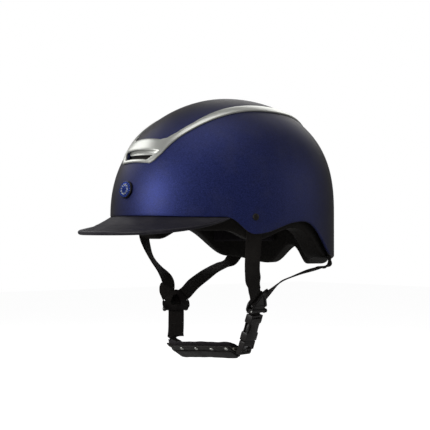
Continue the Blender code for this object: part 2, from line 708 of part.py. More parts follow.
def make_anchors(side, label):
    """The rivet cap outside the shell, and the plate that holds the rear webbing inside it."""
    place = anchor_frame(side)
    turned(f"front_anchor_cap_{label}", [(r * MM, h * MM) for r, h in CAP_PROFILE], plastic(), place, 18)

    def point_at(i, j, edge):
        angle = REAR_STRAP_ANGLE + (i - 0.5) * REAR_PLATE_SPAN
        height = REAR_PLATE_FOOT + REAR_PLATE_HEIGHT * j
        return surface(math.radians(angle * side), height, REAR_PLATE_INSETS[edge])

    grid_solid(f"rear_anchor_plate_{label}", point_at, 4, 1, plastic())


# ---------------------------------------------------------------- dividers

def divider_outline(width, bottom, top, shift):
    """A triangle with cut corners, its tip shifted towards the rear."""
    half = width / 2
    corners = ((-half, bottom + 4), (-half + 2, bottom), (half - 2, bottom), (half, bottom + 4),
               (shift + 3, top), (shift - 3, top))
    return [(u * MM, v * MM) for u, v in corners]


def flap_outline(shift):
    """The flap: a foot between the ears, wings above them and a blunt tip."""
    foot, wing, tip = FLAP_HALF_WIDTHS
    bottom, wing_bottom, wing_top, top = FLAP_HEIGHTS
    right = [(foot, bottom), (foot, wing_bottom), (wing, wing_bottom), (wing, wing_top)]
    outline = right + [(shift + tip, top), (shift - tip, top)] + [(-u, v) for u, v in reversed(right)]
    return [(u * MM, v * MM) for u, v in outline]


def make_divider(side, label, place):
    width, bottom, top, shift = DIVIDER_BASE
    base = plate(f"divider_base_{label}", divider_outline(width, bottom, top, shift * side), *BASE_LAYER,
                 place=place)
    for end in (-1, 1):
        low, high = sorted((end * EAR_INSIDE, end * EAR_OUTSIDE))
        ear = block(f"ear_{label}_{end}", (low, PIN_V - 3 * MM, EAR_FOOT),
                    (high, PIN_V + 3 * MM, PIN_W + KNUCKLE_RADIUS + 0.2 * MM), place=place)
        combine(base, ear, "UNION")
    hole = rod(f"pin_hole_{label}", PIN_RADIUS + PIN_CLEARANCE, (-0.03, PIN_V, PIN_W), (0.03, PIN_V, PIN_W),
               place=place)
    combine(base, hole, "DIFFERENCE")

    flap = plate(f"divider_flap_{label}", flap_outline(FLAP_TIP_SHIFT * side), *FLAP_LAYER, place=place)
    reach = EAR_INSIDE - 0.4 * MM
    knuckle = rod(f"knuckle_{label}", KNUCKLE_RADIUS, (-reach, PIN_V, PIN_W), (reach, PIN_V, PIN_W),
                  place=place, sides=20)
    combine(flap, knuckle, "UNION")
    combine(flap, hole, "DIFFERENCE")
    rod(f"divider_pin_{label}", PIN_RADIUS, (-EAR_OUTSIDE, PIN_V, PIN_W), (EAR_OUTSIDE, PIN_V, PIN_W),
        trim_metal(), place)


# ---------------------------------------------------------------- buckle

def buckle_frame():
    return side_frame(1, BUCKLE_CENTRE)


def make_buckle():
    place = buckle_frame()
    half, deep = BUCKLE_WIDTH / 2, BUCKLE_DEPTH / 2
    female = block("buckle_female", (-half, FEMALE_MOUTH, -deep), (half, FEMALE_TOP, deep), place=place)
    cavity = block("cavity", (-CAVITY_WIDTH / 2, FEMALE_MOUTH - 0.01, -CAVITY_DEPTH / 2),
                   (CAVITY_WIDTH / 2, CAVITY_TOP, CAVITY_DEPTH / 2), place=place)
    combine(female, cavity, "DIFFERENCE")
    windows = block("windows", (-half - 0.01, WINDOW_BOTTOM, -WINDOW_DEPTH / 2),
                    (half + 0.01, WINDOW_TOP, WINDOW_DEPTH / 2), place=place)
    combine(female, windows, "DIFFERENCE")

    male_top = FEMALE_MOUTH - 0.4 * MM
    male = block("buckle_male", (-half, MALE_BOTTOM, -deep + 0.6 * MM), (half, male_top, deep - 0.6 * MM),
                 place=place)
    tongue = block("tongue", (-TONGUE_WIDTH / 2, male_top - 2 * MM, -TONGUE_DEPTH / 2),
                   (TONGUE_WIDTH / 2, TONGUE_TOP, TONGUE_DEPTH / 2), place=place)
    combine(male, tongue, "UNION")
    for label, (low, high) in MALE_SLOTS.items():
        slot = block(f"slot_{label}", (-WEB_SLOT_WIDTH / 2, low, -0.02), (WEB_SLOT_WIDTH / 2, high, 0.02),
                     place=place)
        combine(male, slot, "DIFFERENCE")

    pivot_u, pivot_v = PRONG_PIVOT
    for end, label in ((-1, "front"), (1, "rear")):
        points = [((pivot_u + u * MM) * end, pivot_v + v * MM) for u, v in PRONG_OUTLINE]
        plate(f"buckle_prong_{label}", points, -PRONG_DEPTH / 2, PRONG_DEPTH / 2, place=place)


# ---------------------------------------------------------------- chin strap

def make_chin():
    stops = [(point, CHIN_ACROSS) for point in CHIN_ROUTE[:-1]]
    stops.append((CHIN_ROUTE[-1], CHIN_ACROSS_LAST))
    stops[0] = (CHIN_ROUTE[0], CHIN_ACROSS_FIRST)
    covered = tuple(step / CHIN_STEPS for step in COVERED_STEPS)
    steps = COVERED_STEPS[1] - COVERED_STEPS[0]
    strap("chin_strap", stops, CHIN_STEPS, webbing_cloth())
    strap("chin_pad", stops, steps, pad_cloth(), width=CHIN_PAD_WIDTH, shift=PAD_SHIFT,
          thickness=PAD_THICKNESS, part=covered)
    strap("chin_cover", stops, steps, pad_cloth(), width=CHIN_PAD_WIDTH, shift=-COVER_SHIFT,
          thickness=COVER_THICKNESS, part=covered)
    points = [Vector(point) * MM for point, _ in stops]
    acrosses = [Vector(across) for _, across in stops]
    for number, x in enumerate(STUD_PLACES, 1):
        share = min((k / 400 for k in range(401)), key=lambda k: abs(along_route(points, k).x - x * MM))
        centre, across, face = web_frame(points, acrosses, share)
        foot = centre - face * (COVER_SHIFT + COVER_THICKNESS / 2 + GAP) + across * STUD_OFFSET
        place = frame_of(across, across.cross(face), -face, foot)
        turned(f"chin_stud_{number}", [(r * MM, h * MM) for r, h in STUD_PROFILE], trim_metal(), place, 14)


def build():
    global parts, cutters
    clear_scene()
    parts = new_collection("riding_helmet")
    cutters = new_collection("cutters")
    make_shell()
    make_liner()
    make_peak()
    make_trim()
    make_vent_mesh()
    make_badge()
    make_pads()
    for side, label, centre in ((1, "left", DIVIDER_LEFT), (-1, "right", DIVIDER_RIGHT)):
        divider = side_frame(side, centre)
        make_anchors(side, label)
        make_straps(side, label, divider)
        make_divider(side, label, divider)
    make_buckle()
    make_chin()


build()
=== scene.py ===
"""Equestrian riding helmet: its finished surfaces and finishes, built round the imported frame.

Metres, +Z up. The peak points to -Y and the wearer's left is +X. A piece's surface frame
has u across, v up and w outwards.
"""
import math

import bmesh
import bpy
import numpy as np
from mathutils import Matrix, Vector


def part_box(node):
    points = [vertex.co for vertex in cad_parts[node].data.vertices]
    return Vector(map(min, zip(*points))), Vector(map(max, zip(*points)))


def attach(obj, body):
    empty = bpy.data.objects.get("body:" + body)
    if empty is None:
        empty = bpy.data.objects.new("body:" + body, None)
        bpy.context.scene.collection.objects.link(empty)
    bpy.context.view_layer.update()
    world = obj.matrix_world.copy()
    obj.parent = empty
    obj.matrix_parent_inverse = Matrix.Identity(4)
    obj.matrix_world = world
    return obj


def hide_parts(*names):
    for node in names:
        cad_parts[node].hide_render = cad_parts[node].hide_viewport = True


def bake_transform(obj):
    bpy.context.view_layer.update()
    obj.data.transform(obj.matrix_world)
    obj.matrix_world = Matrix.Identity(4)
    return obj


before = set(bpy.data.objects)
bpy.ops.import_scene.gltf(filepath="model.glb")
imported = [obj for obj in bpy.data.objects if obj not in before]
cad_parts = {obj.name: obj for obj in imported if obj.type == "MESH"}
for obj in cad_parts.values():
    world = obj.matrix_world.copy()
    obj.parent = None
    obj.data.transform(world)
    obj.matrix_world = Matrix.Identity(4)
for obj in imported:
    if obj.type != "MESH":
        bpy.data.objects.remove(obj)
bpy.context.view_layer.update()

MM = 0.001
SIDES = ((1, "left"), (-1, "right"))

# ------------------------------------------------------------------ sizes from the frame

shell_low, shell_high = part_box("outer_shell")
HALF_WIDTH = shell_high[0]
FRONT_REACH, REAR_REACH = -shell_low[1], shell_high[1]
CROWN_HEIGHT = shell_high[2]
REAR_SQUARENESS = 2.34
PROFILE_FRONT, PROFILE_REAR = (2.19, 1.88), (2.74, 1.99)

# Rim heights in mm at angles from the front in degrees
SHELL_RIM = ((0, 0), (57.5, -1.5), (71, -20), (96, -6), (127, -45), (160, -51), (180, -30))
FOAM_RIM = ((0, -14), (57, -16), (72, -26.5), (93, -13.5), (125, -48), (160, -56), (180, -34))
SHELL_WALL, FOAM_OUTER, FOAM_INNER = 3.0 * MM, 6.4 * MM, 27.0 * MM
PAD_OUTER, PAD_INNER = 29.3 * MM, 35.5 * MM

# Vent frame and arms: half widths in mm at angles over the crown in degrees
TRIM_OUTER = ((23.4, 23.6), (23.9, 25.8), (25, 28.4), (29, 33.2), (33.6, 36.2), (38.2, 39.3), (46.3, 45.4),
              (55, 50), (64.4, 53.5), (74.3, 56), (84.6, 58), (95.3, 59.4), (104, 59.3), (110, 57.2),
              (116, 53.4), (122, 48.6), (128, 43.2))
TRIM_INNER = ((23.4, 17), (25, 19), (29.7, 28.5), (33, 25), (36, 22), (37.3, 28), (41.6, 33.9), (50, 39.6),
              (59.6, 42.2), (69.6, 43.8), (79, 46.1), (89, 47.9), (98, 49.2), (105, 48.9), (112, 46.8),
              (118, 44.3), (124, 42.2), (128, 41.8))
TRIM_START, SLOT_BOTTOM, SLOT_TOP, FRAME_TOP, TRIM_END = 23.4, 25.0, 29.7, 36.0, 128.0
TRIM_HEIGHT = 1.9 * MM
SLOT_NARROW, SLOT_WIDE = 19.0 * MM, 28.5 * MM  # half widths at the opening's bottom and top

# Webbing
WEB_THICKNESS, WEB_INSET = 1.4 * MM, 4.9 * MM
FRONT_ANCHOR, REAR_STRAP_ANGLE = (71.0, -1.1), 131.0
FRONT_ROUTES = {
    1: (((98.6, -48.0, -34), (0.25, 0.96, -0.1)), ((97, -47.8, -50), (0.18, 0.96, -0.2)),
        ((94, -45, -63), (0.05, 0.95, -0.33)), ((90.5, -40.2, -74), (-0.06, 0.9, -0.43))),
    -1: (((-98, -43.5, -34), (-0.42, 0.9, 0.05)), ((-95, -37.5, -50), (-0.62, 0.77, 0.1)),
         ((-90.5, -27.5, -65), (-0.52, 0.82, 0.2)), ((-89.6, -17.4, -78.6), (-0.05, 0.85, 0.4))),
}
FRONT_IN_DIVIDER = {1: ((-13.4, 13.2), (-9.8, 8.2), (-6.8, 3.9)),
                    -1: ((-9.2, 13.6), (-8.2, 8.6), (-6.8, 3.9))}
REAR_ROUTES = {
    1: (((81.1, -9.3, -86.1), (-0.65, 0.55, -0.5)), ((88, 4, -73.5), (-0.83, 0.5, -0.15)),
        ((90, 24, -67), (-0.97, 0.17, -0.19)),
        ((91.5, 46, -61.5), (-0.95, 0.25, 0)), ((90.5, 63, -58.2), (-0.9, 0.5, 0)),
        ((87, 78, -56), (-0.8, 0.6, 0))),
    -1: (((-79.8, 3.6, -91.0), (0.4, 0.46, -0.79)), ((-86, 20, -82), (0.6, 0, -0.8)),
         ((-88.5, 38, -73), (0.7, 0, -0.7)),
         ((-90, 54, -65.5), (0.8, -0.1, -0.5)), ((-89.5, 67, -60.5), (0.9, 0.3, -0.3)),
         ((-86.5, 78.5, -56), (0.8, 0.6, 0))),
}
HARNESS_TURN, HARNESS_TILT = math.radians(16.0), math.radians(18.0)
DIVIDERS = {1: Vector((82.5, -26.0, -96.0)) * MM, -1: Vector((-81.5, -13.0, -101.0)) * MM}
BUCKLE_CENTRE = Vector((73.6, -28.6, -124.6)) * MM
PIN_V, PIN_W, PIN_RADIUS, KNUCKLE_RADIUS = -9.0, 3.1, 1.0, 2.0
CHIN_ROUTE = ((59.4, -31.8, -148.0), (50, -32, -151.0), (24, -33.5, -152.6), (0, -35, -153.6),
              (-28, -35, -155.4), (-50, -32, -157.0), (-62, -28, -155.2), (-67, -24.5, -150.4))
CHIN_ACROSS = (0.0, -0.87, 0.5)
CHIN_WRAP = (0.14, 0.90)  # the part of the chin strap inside its pad and cover
CHIN_SHIFTS = (3.4 * MM, -1.8 * MM)  # of the pad and of its cover, off the strap


# ------------------------------------------------------------------ the shell's surface

def ease(share):
    share = np.clip(share, 0, 1)
    return share * share * (3 - 2 * share)


def read_table(table, at):
    """Heights between a table's stations, eased at each station."""
    places, values = np.array(table, float).T
    at = np.clip(at, places[0], places[-1])
    k = np.clip(np.searchsorted(places, at, side="left") - 1, 0, len(places) - 2)
    share = (at - places[k]) / (places[k + 1] - places[k])
    return values[k] + (values[k + 1] - values[k]) * (1 - np.cos(np.pi * share)) / 2


def read_line(table, at):
    places, values = np.array(table, float).T
    return np.interp(at, places, values)


def rim(table, angle):
    return read_table(table, np.abs(np.degrees(angle))) * MM


def profile_powers(angle):
    share = ease((1 - np.cos(angle)) / 2)
    return [a + (b - a) * share for a, b in zip(PROFILE_FRONT, PROFILE_REAR)]


def surface(angle, height, inset=0.0):
    """Points on the shell at angles from the front towards +X, heights and insets."""
    angle, height, inset = np.broadcast_arrays(*(np.asarray(v, float) for v in (angle, height, inset)))
    rise, spread = profile_powers(angle)
    share = np.clip(height / (CROWN_HEIGHT - inset), 0, 1)
    scale = np.clip(1 - share ** rise, 0, 1) ** (1 / spread)
    s, c = np.sin(angle), np.cos(angle)
    power = 2 / np.where(c < 0, REAR_SQUARENESS, 2.0)
    reach = np.where(c < 0, REAR_REACH, FRONT_REACH) - inset
    x = (HALF_WIDTH - inset) * np.sign(s) * np.abs(s) ** power * scale
    y = -reach * np.sign(c) * np.abs(c) ** power * scale
    return np.stack([x, y, height], -1)


def level(points, inset):
    """Below zero inside the surface at this inset, and above zero outside."""
    x, y, z = points[..., 0], points[..., 1], points[..., 2]
    power = np.where(y > 0, REAR_SQUARENESS, 2.0)
    across = np.abs(x) / (HALF_WIDTH - inset)
    along = np.abs(y) / (np.where(y > 0, REAR_REACH, FRONT_REACH) - inset)
    radius = (across ** power + along ** power) ** (1 / power)
    angle = np.arctan2(across ** (power / 2), np.where(y > 0, -1, 1) * along ** (power / 2))
    rise, spread = profile_powers(angle)
    share = np.clip(z / (CROWN_HEIGHT - inset), 0, 1)
    return radius - np.clip(1 - share ** rise, 0, 1) ** (1 / spread)


def meet(start, direction, inset):
    """Where lines from inside the shell meet its surface at this inset."""
    low, high = np.full(start.shape[:-1], 0.02), np.full(start.shape[:-1], 0.25)
    for _ in range(32):
        middle = (low + high) / 2
        inside = level(start + direction * middle[..., None], inset) < 0
        low, high = np.where(inside, middle, low), np.where(inside, high, middle)
    return start + direction * low[..., None]


def over_crown(x, degrees, inset):
    """Surface points at x from the middle, at angles from the front over the crown."""
    x, degrees = np.broadcast_arrays(np.asarray(x, float), np.asarray(degrees, float))
    turn = np.radians(degrees)
    zero = np.zeros_like(x)
    return meet(np.stack([x, zero, zero], -1), np.stack([zero, -np.cos(turn), np.sin(turn)], -1), inset)


def on_front(x, z, inset):
    """Surface points straight ahead of (x, z)."""
    x, z = np.broadcast_arrays(np.asarray(x, float), np.asarray(z, float))
    zero = np.zeros_like(x)
    return meet(np.stack([x, zero, z], -1), np.stack([zero, zero - 1, zero], -1), inset)


def outwards(points):
    """Unit normals of the shell near these points."""
    steps = 0.4 * MM * np.eye(3)
    grads = [level(points + step, 0.0) - level(points - step, 0.0) for step in steps]
    normal = np.stack(grads, -1)
    return normal / np.linalg.norm(normal, axis=-1, keepdims=True)


# ------------------------------------------------------------------ mesh helpers

def frame_of(across, up, out, origin):
    made = Matrix((across, up, out)).transposed().to_4x4()
    made.translation = origin
    return made


def surface_frame(point_at, a, b, step):
    origin = Vector(point_at(a, b))
    across = (Vector(point_at(a + step[0], b)) - Vector(point_at(a - step[0], b))).normalized()
    up = (Vector(point_at(a, b + step[1])) - Vector(point_at(a, b - step[1])))
    out = across.cross(up).normalized()
    return frame_of(across, out.cross(across).normalized(), out, origin)


def side_frame(side, origin):
    """The frame of a divider or buckle; a mirror image on the right side."""
    across = Vector((-math.sin(HARNESS_TURN) * side, math.cos(HARNESS_TURN), 0))
    level_out = Vector((math.cos(HARNESS_TURN) * side, math.sin(HARNESS_TURN), 0))
    up = level_out * math.sin(HARNESS_TILT) + Vector((0, 0, math.cos(HARNESS_TILT)))
    out = level_out * math.cos(HARNESS_TILT) - Vector((0, 0, math.sin(HARNESS_TILT)))
    return frame_of(across * side, up, out, origin)


def anchor_frame(side):
    turn = math.radians(FRONT_ANCHOR[0] * side)
    return surface_frame(lambda a, z: surface(a, z), turn, FRONT_ANCHOR[1] * MM, (0.02, 0.002))


def smoothed(piece, degrees):
    """Smooth shading, with creases where faces meet at more than this angle."""
    piece.data.shade_smooth()
    piece.data.set_sharp_from_angle(angle=math.radians(degrees))
    return piece


def link(mesh, name, skin=None, sharp=35):
    made = bpy.data.objects.new(name, mesh)
    bpy.context.scene.collection.objects.link(made)
    if skin is not None:
        mesh.materials.clear()
        mesh.materials.append(skin)
    return smoothed(made, sharp)


def from_bmesh(bm, name, skin=None, place=None, sharp=35, recalculate=True):
    bmesh.ops.remove_doubles(bm, verts=bm.verts, dist=1e-6)
    if recalculate:
        bmesh.ops.recalc_face_normals(bm, faces=bm.faces)
        if bm.calc_volume(signed=True) < 0:
            bmesh.ops.reverse_faces(bm, faces=bm.faces)
    if place is not None:
        bmesh.ops.transform(bm, matrix=place, verts=bm.verts)
    mesh = bpy.data.meshes.new(name)
    bm.to_mesh(mesh)
    bm.free()
    return link(mesh, name, skin, sharp)


def sheet_of(points, around=False, uv=None):
    """A skin over rows x columns of points. around closes each row on itself."""
    rows, columns = points.shape[:2]
    bm = bmesh.new()
    verts = [[bm.verts.new(p) for p in row] for row in points]
    layer = bm.loops.layers.uv.new("UVMap") if uv is not None else None
    for i in range(rows - 1):
        for j in range(columns if around else columns - 1):
            k = (j + 1) % columns
            face = bm.faces.new((verts[i][j], verts[i][k], verts[i + 1][k], verts[i + 1][j]))
            if layer is not None:
                steps = ((i, j), (i, j + 1), (i + 1, j + 1), (i + 1, j))
                for loop, (a, b) in zip(face.loops, steps):
                    loop[layer].uv = uv(a, b)
    return bm, verts


def tube_of(points, name, skin, uv=None, sharp=35):
    """A closed solid swept through rows of closed sections, with flat ends."""
    bm, verts = sheet_of(points, around=True, uv=uv)
    bm.faces.new(verts[0])
    bm.faces.new(list(reversed(verts[-1])))
    return from_bmesh(bm, name, skin, sharp=sharp)


def evaluated(piece):
    """The piece with its modifiers applied, as a plain mesh object in its place."""
    graph = bpy.context.evaluated_depsgraph_get()
    graph.update()
    mesh = bpy.data.meshes.new_from_object(piece.evaluated_get(graph))
    mesh.transform(piece.matrix_world)
    name = piece.name
    bpy.data.objects.remove(piece, do_unlink=True)
    mesh.name = name
    made = bpy.data.objects.new(name, mesh)
    bpy.context.scene.collection.objects.link(made)
    return made


def bevelled(piece, width, segments=3, sharp=40):
    """Rounds a piece's edges and applies it."""
    bevel = piece.modifiers.new("edges", "BEVEL")
    bevel.width = width
    bevel.segments = segments
    bevel.limit_method = "ANGLE"
    bevel.angle_limit = math.radians(30)
    return smoothed(evaluated(piece), sharp)


def combined(target, tools, operation="DIFFERENCE"):
    """Cuts or joins the tools, applies it and removes them."""
    for tool in tools:
        modifier = target.modifiers.new(tool.name, "BOOLEAN")
        modifier.operation = operation
        modifier.solver = "EXACT"
        modifier.object = tool
    made = evaluated(target)
    for tool in tools:
        bpy.data.objects.remove(tool, do_unlink=True)
    return made


def block(low, high, place):
    low, high = Vector(low) * MM, Vector(high) * MM
    bm = bmesh.new()
    bmesh.ops.create_cube(bm, size=1.0)
    bmesh.ops.scale(bm, vec=high - low, verts=bm.verts)
    bmesh.ops.translate(bm, vec=(low + high) / 2, verts=bm.verts)
    return from_bmesh(bm, "tool", place=place)


def rod(radius, start, end, place, sides=40):
    start, end = Vector(start) * MM, Vector(end) * MM
    bm = bmesh.new()
    bmesh.ops.create_cone(bm, cap_ends=True, segments=sides, radius1=radius * MM, radius2=radius * MM,
                          depth=(end - start).length)
    turn = Vector((0, 0, 1)).rotation_difference(end - start).to_matrix().to_4x4()
    bmesh.ops.transform(bm, matrix=Matrix.Translation((start + end) / 2) @ turn, verts=bm.verts)
    return from_bmesh(bm, "tool", place=place)


def plate(outline, low, high, place):
    """A flat outline in (u, v), thick from w=low to w=high, all in mm."""
    bm = bmesh.new()
    face = bm.faces.new([bm.verts.new((u * MM, v * MM, low * MM)) for u, v in outline])
    grown = bmesh.ops.extrude_face_region(bm, geom=[face])["geom"]
    moved = [item for item in grown if isinstance(item, bmesh.types.BMVert)]
    bmesh.ops.translate(bm, vec=(0, 0, (high - low) * MM), verts=moved)
    return from_bmesh(bm, "tool", place=place)


def rounded(outline, radius):
    """An outline with each corner replaced by an arc-like curve."""
    made = []
    count = len(outline)
    for k, corner in enumerate(outline):
        corner = Vector(corner)
        before, after = Vector(outline[k - 1]), Vector(outline[(k + 1) % count])
        cut = min(radius, (before - corner).length * 0.48, (after - corner).length * 0.48)
        a = corner + (before - corner).normalized() * cut
        b = corner + (after - corner).normalized() * cut
        for t in np.linspace(0, 1, 6):
            made.append(tuple(a * (1 - t) ** 2 + corner * 2 * t * (1 - t) + b * t * t))
    return made


def turned(profile, place, name, skin, sides=48):
    """A turned piece about w, from (radius, height) points in mm run down the outer side."""
    rows = []
    for radius, height in profile:
        turn = np.linspace(0, 2 * np.pi, sides, endpoint=False)
        ring = [radius * np.cos(turn), radius * np.sin(turn), np.full(sides, height)]
        rows.append(np.stack(ring, -1) * MM)
    bm, _ = sheet_of(np.array(rows), around=True)
    return from_bmesh(bm, name, skin, place, 40)


def arc(centre, radius, start, end, steps):
    """Points of an arc in mm, with angles in degrees."""
    turn = np.radians(np.linspace(start, end, steps))
    return [(centre[0] + radius * math.cos(a), centre[1] + radius * math.sin(a)) for a in turn]


def settle(piece, body, slot, *nodes):
    """Puts a finished piece on its body and hides the nodes it stands for; the finish's slot is not used."""
    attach(piece, body)
    if nodes:
        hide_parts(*nodes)
    return piece


# ------------------------------------------------------------------ shader helpers

def feed(tree, value, socket):
    """Links a socket's value to another socket, or sets it as a constant."""
    if isinstance(value, bpy.types.NodeSocket):
        tree.links.new(value, socket)
    else:
        socket.default_value = value


def node(tree, kind, settings=None, **inputs):
    made = tree.nodes.new(kind)
    for key, value in (settings or {}).items():
        setattr(made, key, value)
    for key, value in inputs.items():
        numbered = key[0] == "i" and key[1:].isdigit()
        feed(tree, value, made.inputs[int(key[1:]) if numbered else key.replace("_", " ")])
    return made


def maths(tree, operation, *values, clamp=False):
    return node(tree, "ShaderNodeMath", {"operation": operation, "use_clamp": clamp},
                **{f"i{k}": value for k, value in enumerate(values)}).outputs[0]


def mixed(tree, share, first, second):
    """A colour between two, by a share."""
    made = tree.nodes.new("ShaderNodeMix")
    made.data_type = "RGBA"
    feed(tree, share, made.inputs[0])
    for index, colour in ((6, first), (7, second)):
        feed(tree, (*colour, 1.0) if isinstance(colour, tuple) else colour, made.inputs[index])
    return made.outputs[2]


def ramp(tree, value, low, high):
    span = node(tree, "ShaderNodeMapRange", {"clamp": True}, Value=value, From_Min=low, From_Max=high)
    return span.outputs[0]


def new_group(name, inputs, outputs):
    """A shader group with named sockets: returns its tree, and its input and output nodes."""
    tree = bpy.data.node_groups.new(name, "ShaderNodeTree")
    for label, kind, default in inputs:
        socket = tree.interface.new_socket(label, in_out="INPUT", socket_type=kind)
        if default is not None:
            socket.default_value = default
    for label, kind in outputs:
        tree.interface.new_socket(label, in_out="OUTPUT", socket_type=kind)
    return tree, tree.nodes.new("NodeGroupInput"), tree.nodes.new("NodeGroupOutput")


def place_group(tree, group, **inputs):
    made = tree.nodes.new("ShaderNodeGroup")
    made.node_tree = group
    for key, value in inputs.items():
        feed(tree, value, made.inputs[key.replace("_", " ")])
    return made


VECTOR, FLOAT = "NodeSocketVector", "NodeSocketFloat"


def grain_group():
    """Pebbled leather or moulded grain: a height, and a slow mottling."""
    tree, given, out = new_group("pebbled_grain", (("Position", VECTOR, None), ("Scale", FLOAT, 900.0)),
                                 (("Height", FLOAT), ("Mottle", FLOAT)))
    cells = node(tree, "ShaderNodeTexVoronoi", {"feature": "SMOOTH_F1"}, Vector=given.outputs[0],
                 Scale=given.outputs[1], Smoothness=0.6)
    fine = node(tree, "ShaderNodeTexNoise", None, Vector=given.outputs[0],
                Scale=maths(tree, "MULTIPLY", given.outputs[1], 2.2), Detail=3.0)
    slow = node(tree, "ShaderNodeTexNoise", None, Vector=given.outputs[0], Scale=28.0, Detail=4.0)
    height = maths(tree, "ADD", maths(tree, "SUBTRACT", 1.0, cells.outputs["Distance"]),
                   maths(tree, "MULTIPLY", fine.outputs[0], 0.35))
    tree.links.new(height, out.inputs[0])
    tree.links.new(ramp(tree, slow.outputs[0], 0.3, 0.7), out.inputs[1])
    return tree


def weave_group():
    """Basket weave on a flat map in metres: a height, a painted shade that is darker in the dips between
    threads, and loose fuzz.
    """
    tree, given, out = new_group("woven_threads", (("Map", VECTOR, None), ("Thread", FLOAT, 0.0012)),
                                 (("Height", FLOAT), ("Shade", FLOAT), ("Fuzz", FLOAT)))
    split = node(tree, "ShaderNodeSeparateXYZ", None, Vector=given.outputs[0])
    across = maths(tree, "DIVIDE", split.outputs[0], given.outputs[1])
    along = maths(tree, "DIVIDE", split.outputs[1], given.outputs[1])
    steps = maths(tree, "ADD", maths(tree, "FLOOR", across), maths(tree, "FLOOR", along))
    over = maths(tree, "MULTIPLY", maths(tree, "FRACT", maths(tree, "MULTIPLY", steps, 0.5)), 2.0)
    hump_a = maths(tree, "ABSOLUTE", maths(tree, "SINE", maths(tree, "MULTIPLY", across, math.pi)))
    hump_b = maths(tree, "ABSOLUTE", maths(tree, "SINE", maths(tree, "MULTIPLY", along, math.pi)))
    first = maths(tree, "MULTIPLY", over, hump_a)
    second = maths(tree, "MULTIPLY", maths(tree, "SUBTRACT", 1.0, over), hump_b)
    both = maths(tree, "MULTIPLY", hump_a, hump_b)
    height = maths(tree, "ADD", maths(tree, "ADD", first, second), maths(tree, "MULTIPLY", both, 0.5))
    fuzz = node(tree, "ShaderNodeTexNoise", None, Vector=given.outputs[0], Scale=2600.0, Detail=3.0)
    tree.links.new(height, out.inputs[0])
    # painted shade: the colour share falls where the weave is low, between threads
    tree.links.new(ramp(tree, height, 0.2, 1.4), out.inputs[1])
    tree.links.new(fuzz.outputs[0], out.inputs[2])
    return tree


def flake_group():
    """Pearl flakes in paint: a spread of small facets and a slow orange peel."""
    tree, given, out = new_group("pearl_flakes", (("Position", VECTOR, None), ("Scale", FLOAT, 1500.0)),
                                 (("Flake", FLOAT), ("Peel", FLOAT)))
    cells = node(tree, "ShaderNodeTexVoronoi", None, Vector=given.outputs[0], Scale=given.outputs[1])
    split = node(tree, "ShaderNodeSeparateColor", None, Color=cells.outputs["Color"])
    peel = node(tree, "ShaderNodeTexNoise", None, Vector=given.outputs[0], Scale=420.0, Detail=2.0)
    tree.links.new(split.outputs[0], out.inputs[0])
    tree.links.new(peel.outputs[0], out.inputs[1])
    return tree


def wear_group():
    """Handling marks: faint dust in slow patches and fine scratches."""
    tree, given, out = new_group("handling_marks", (("Position", VECTOR, None), ("Amount", FLOAT, 0.3)),
                                 (("Dust", FLOAT), ("Scratch", FLOAT)))
    patch = node(tree, "ShaderNodeTexNoise", None, Vector=given.outputs[0], Scale=36.0, Detail=5.0)
    stretch = node(tree, "ShaderNodeMapping", None, Vector=given.outputs[0], Scale=(60.0, 900.0, 420.0))
    lines = node(tree, "ShaderNodeTexNoise", None, Vector=stretch.outputs[0], Scale=1.0, Detail=2.0)
    tree.links.new(maths(tree, "MULTIPLY", ramp(tree, patch.outputs[0], 0.48, 0.75), given.outputs[1]),
                   out.inputs[0])
    tree.links.new(maths(tree, "MULTIPLY", ramp(tree, lines.outputs[0], 0.62, 0.8), given.outputs[1]),
                   out.inputs[1])
    return tree


GRAIN, WEAVE, FLAKES, WEAR = grain_group(), weave_group(), flake_group(), wear_group()


def new_material(name, **constants):
    """A material with its constants straight on the Principled sockets."""
    made = bpy.data.materials.new(name)
    made.use_nodes = True
    tree = made.node_tree
    shader = tree.nodes["Principled BSDF"]
    for key, value in constants.items():
        shader.inputs[key.replace("_", " ")].default_value = value
    position = tree.nodes.new("ShaderNodeTexCoord").outputs["Object"]
    return made, tree, shader, position


def bump(tree, shader, height, strength, distance):
    made = node(tree, "ShaderNodeBump", None, Strength=strength, Distance=distance, Height=height)
    tree.links.new(made.outputs[0], shader.inputs["Normal"])


def navy_paint():
    """Matt pearl paint: blue where it faces the viewer, and painted shade in a dark violet grey where it turns
    away from the viewer.
    """
    made, tree, shader, position = new_material("navy_pearl_paint", Metallic=0.62, IOR=1.45)
    flakes = place_group(tree, FLAKES, Position=position, Scale=1500.0)
    marks = place_group(tree, WEAR, Position=position, Amount=0.16)
    facing = node(tree, "ShaderNodeLayerWeight", None, Blend=0.42).outputs["Facing"]
    colour = mixed(tree, flakes.outputs["Flake"], (0.016, 0.025, 0.115), (0.040, 0.054, 0.240))
    # painted shade: the colour turns to a dark violet grey where the shell turns away from the viewer
    colour = mixed(tree, ramp(tree, facing, 0.08, 0.70), colour, (0.029, 0.026, 0.033))
    colour = mixed(tree, marks.outputs["Dust"], colour, (0.10, 0.10, 0.13))
    tree.links.new(colour, shader.inputs["Base Color"])
    rough = maths(tree, "ADD", maths(tree, "MULTIPLY", flakes.outputs["Flake"], 0.08), 0.46)
    tree.links.new(maths(tree, "ADD", rough, maths(tree, "MULTIPLY", marks.outputs["Dust"], 0.2)),
                   shader.inputs["Roughness"])
    bump(tree, shader, flakes.outputs["Peel"], 0.10, 0.0003)
    return made


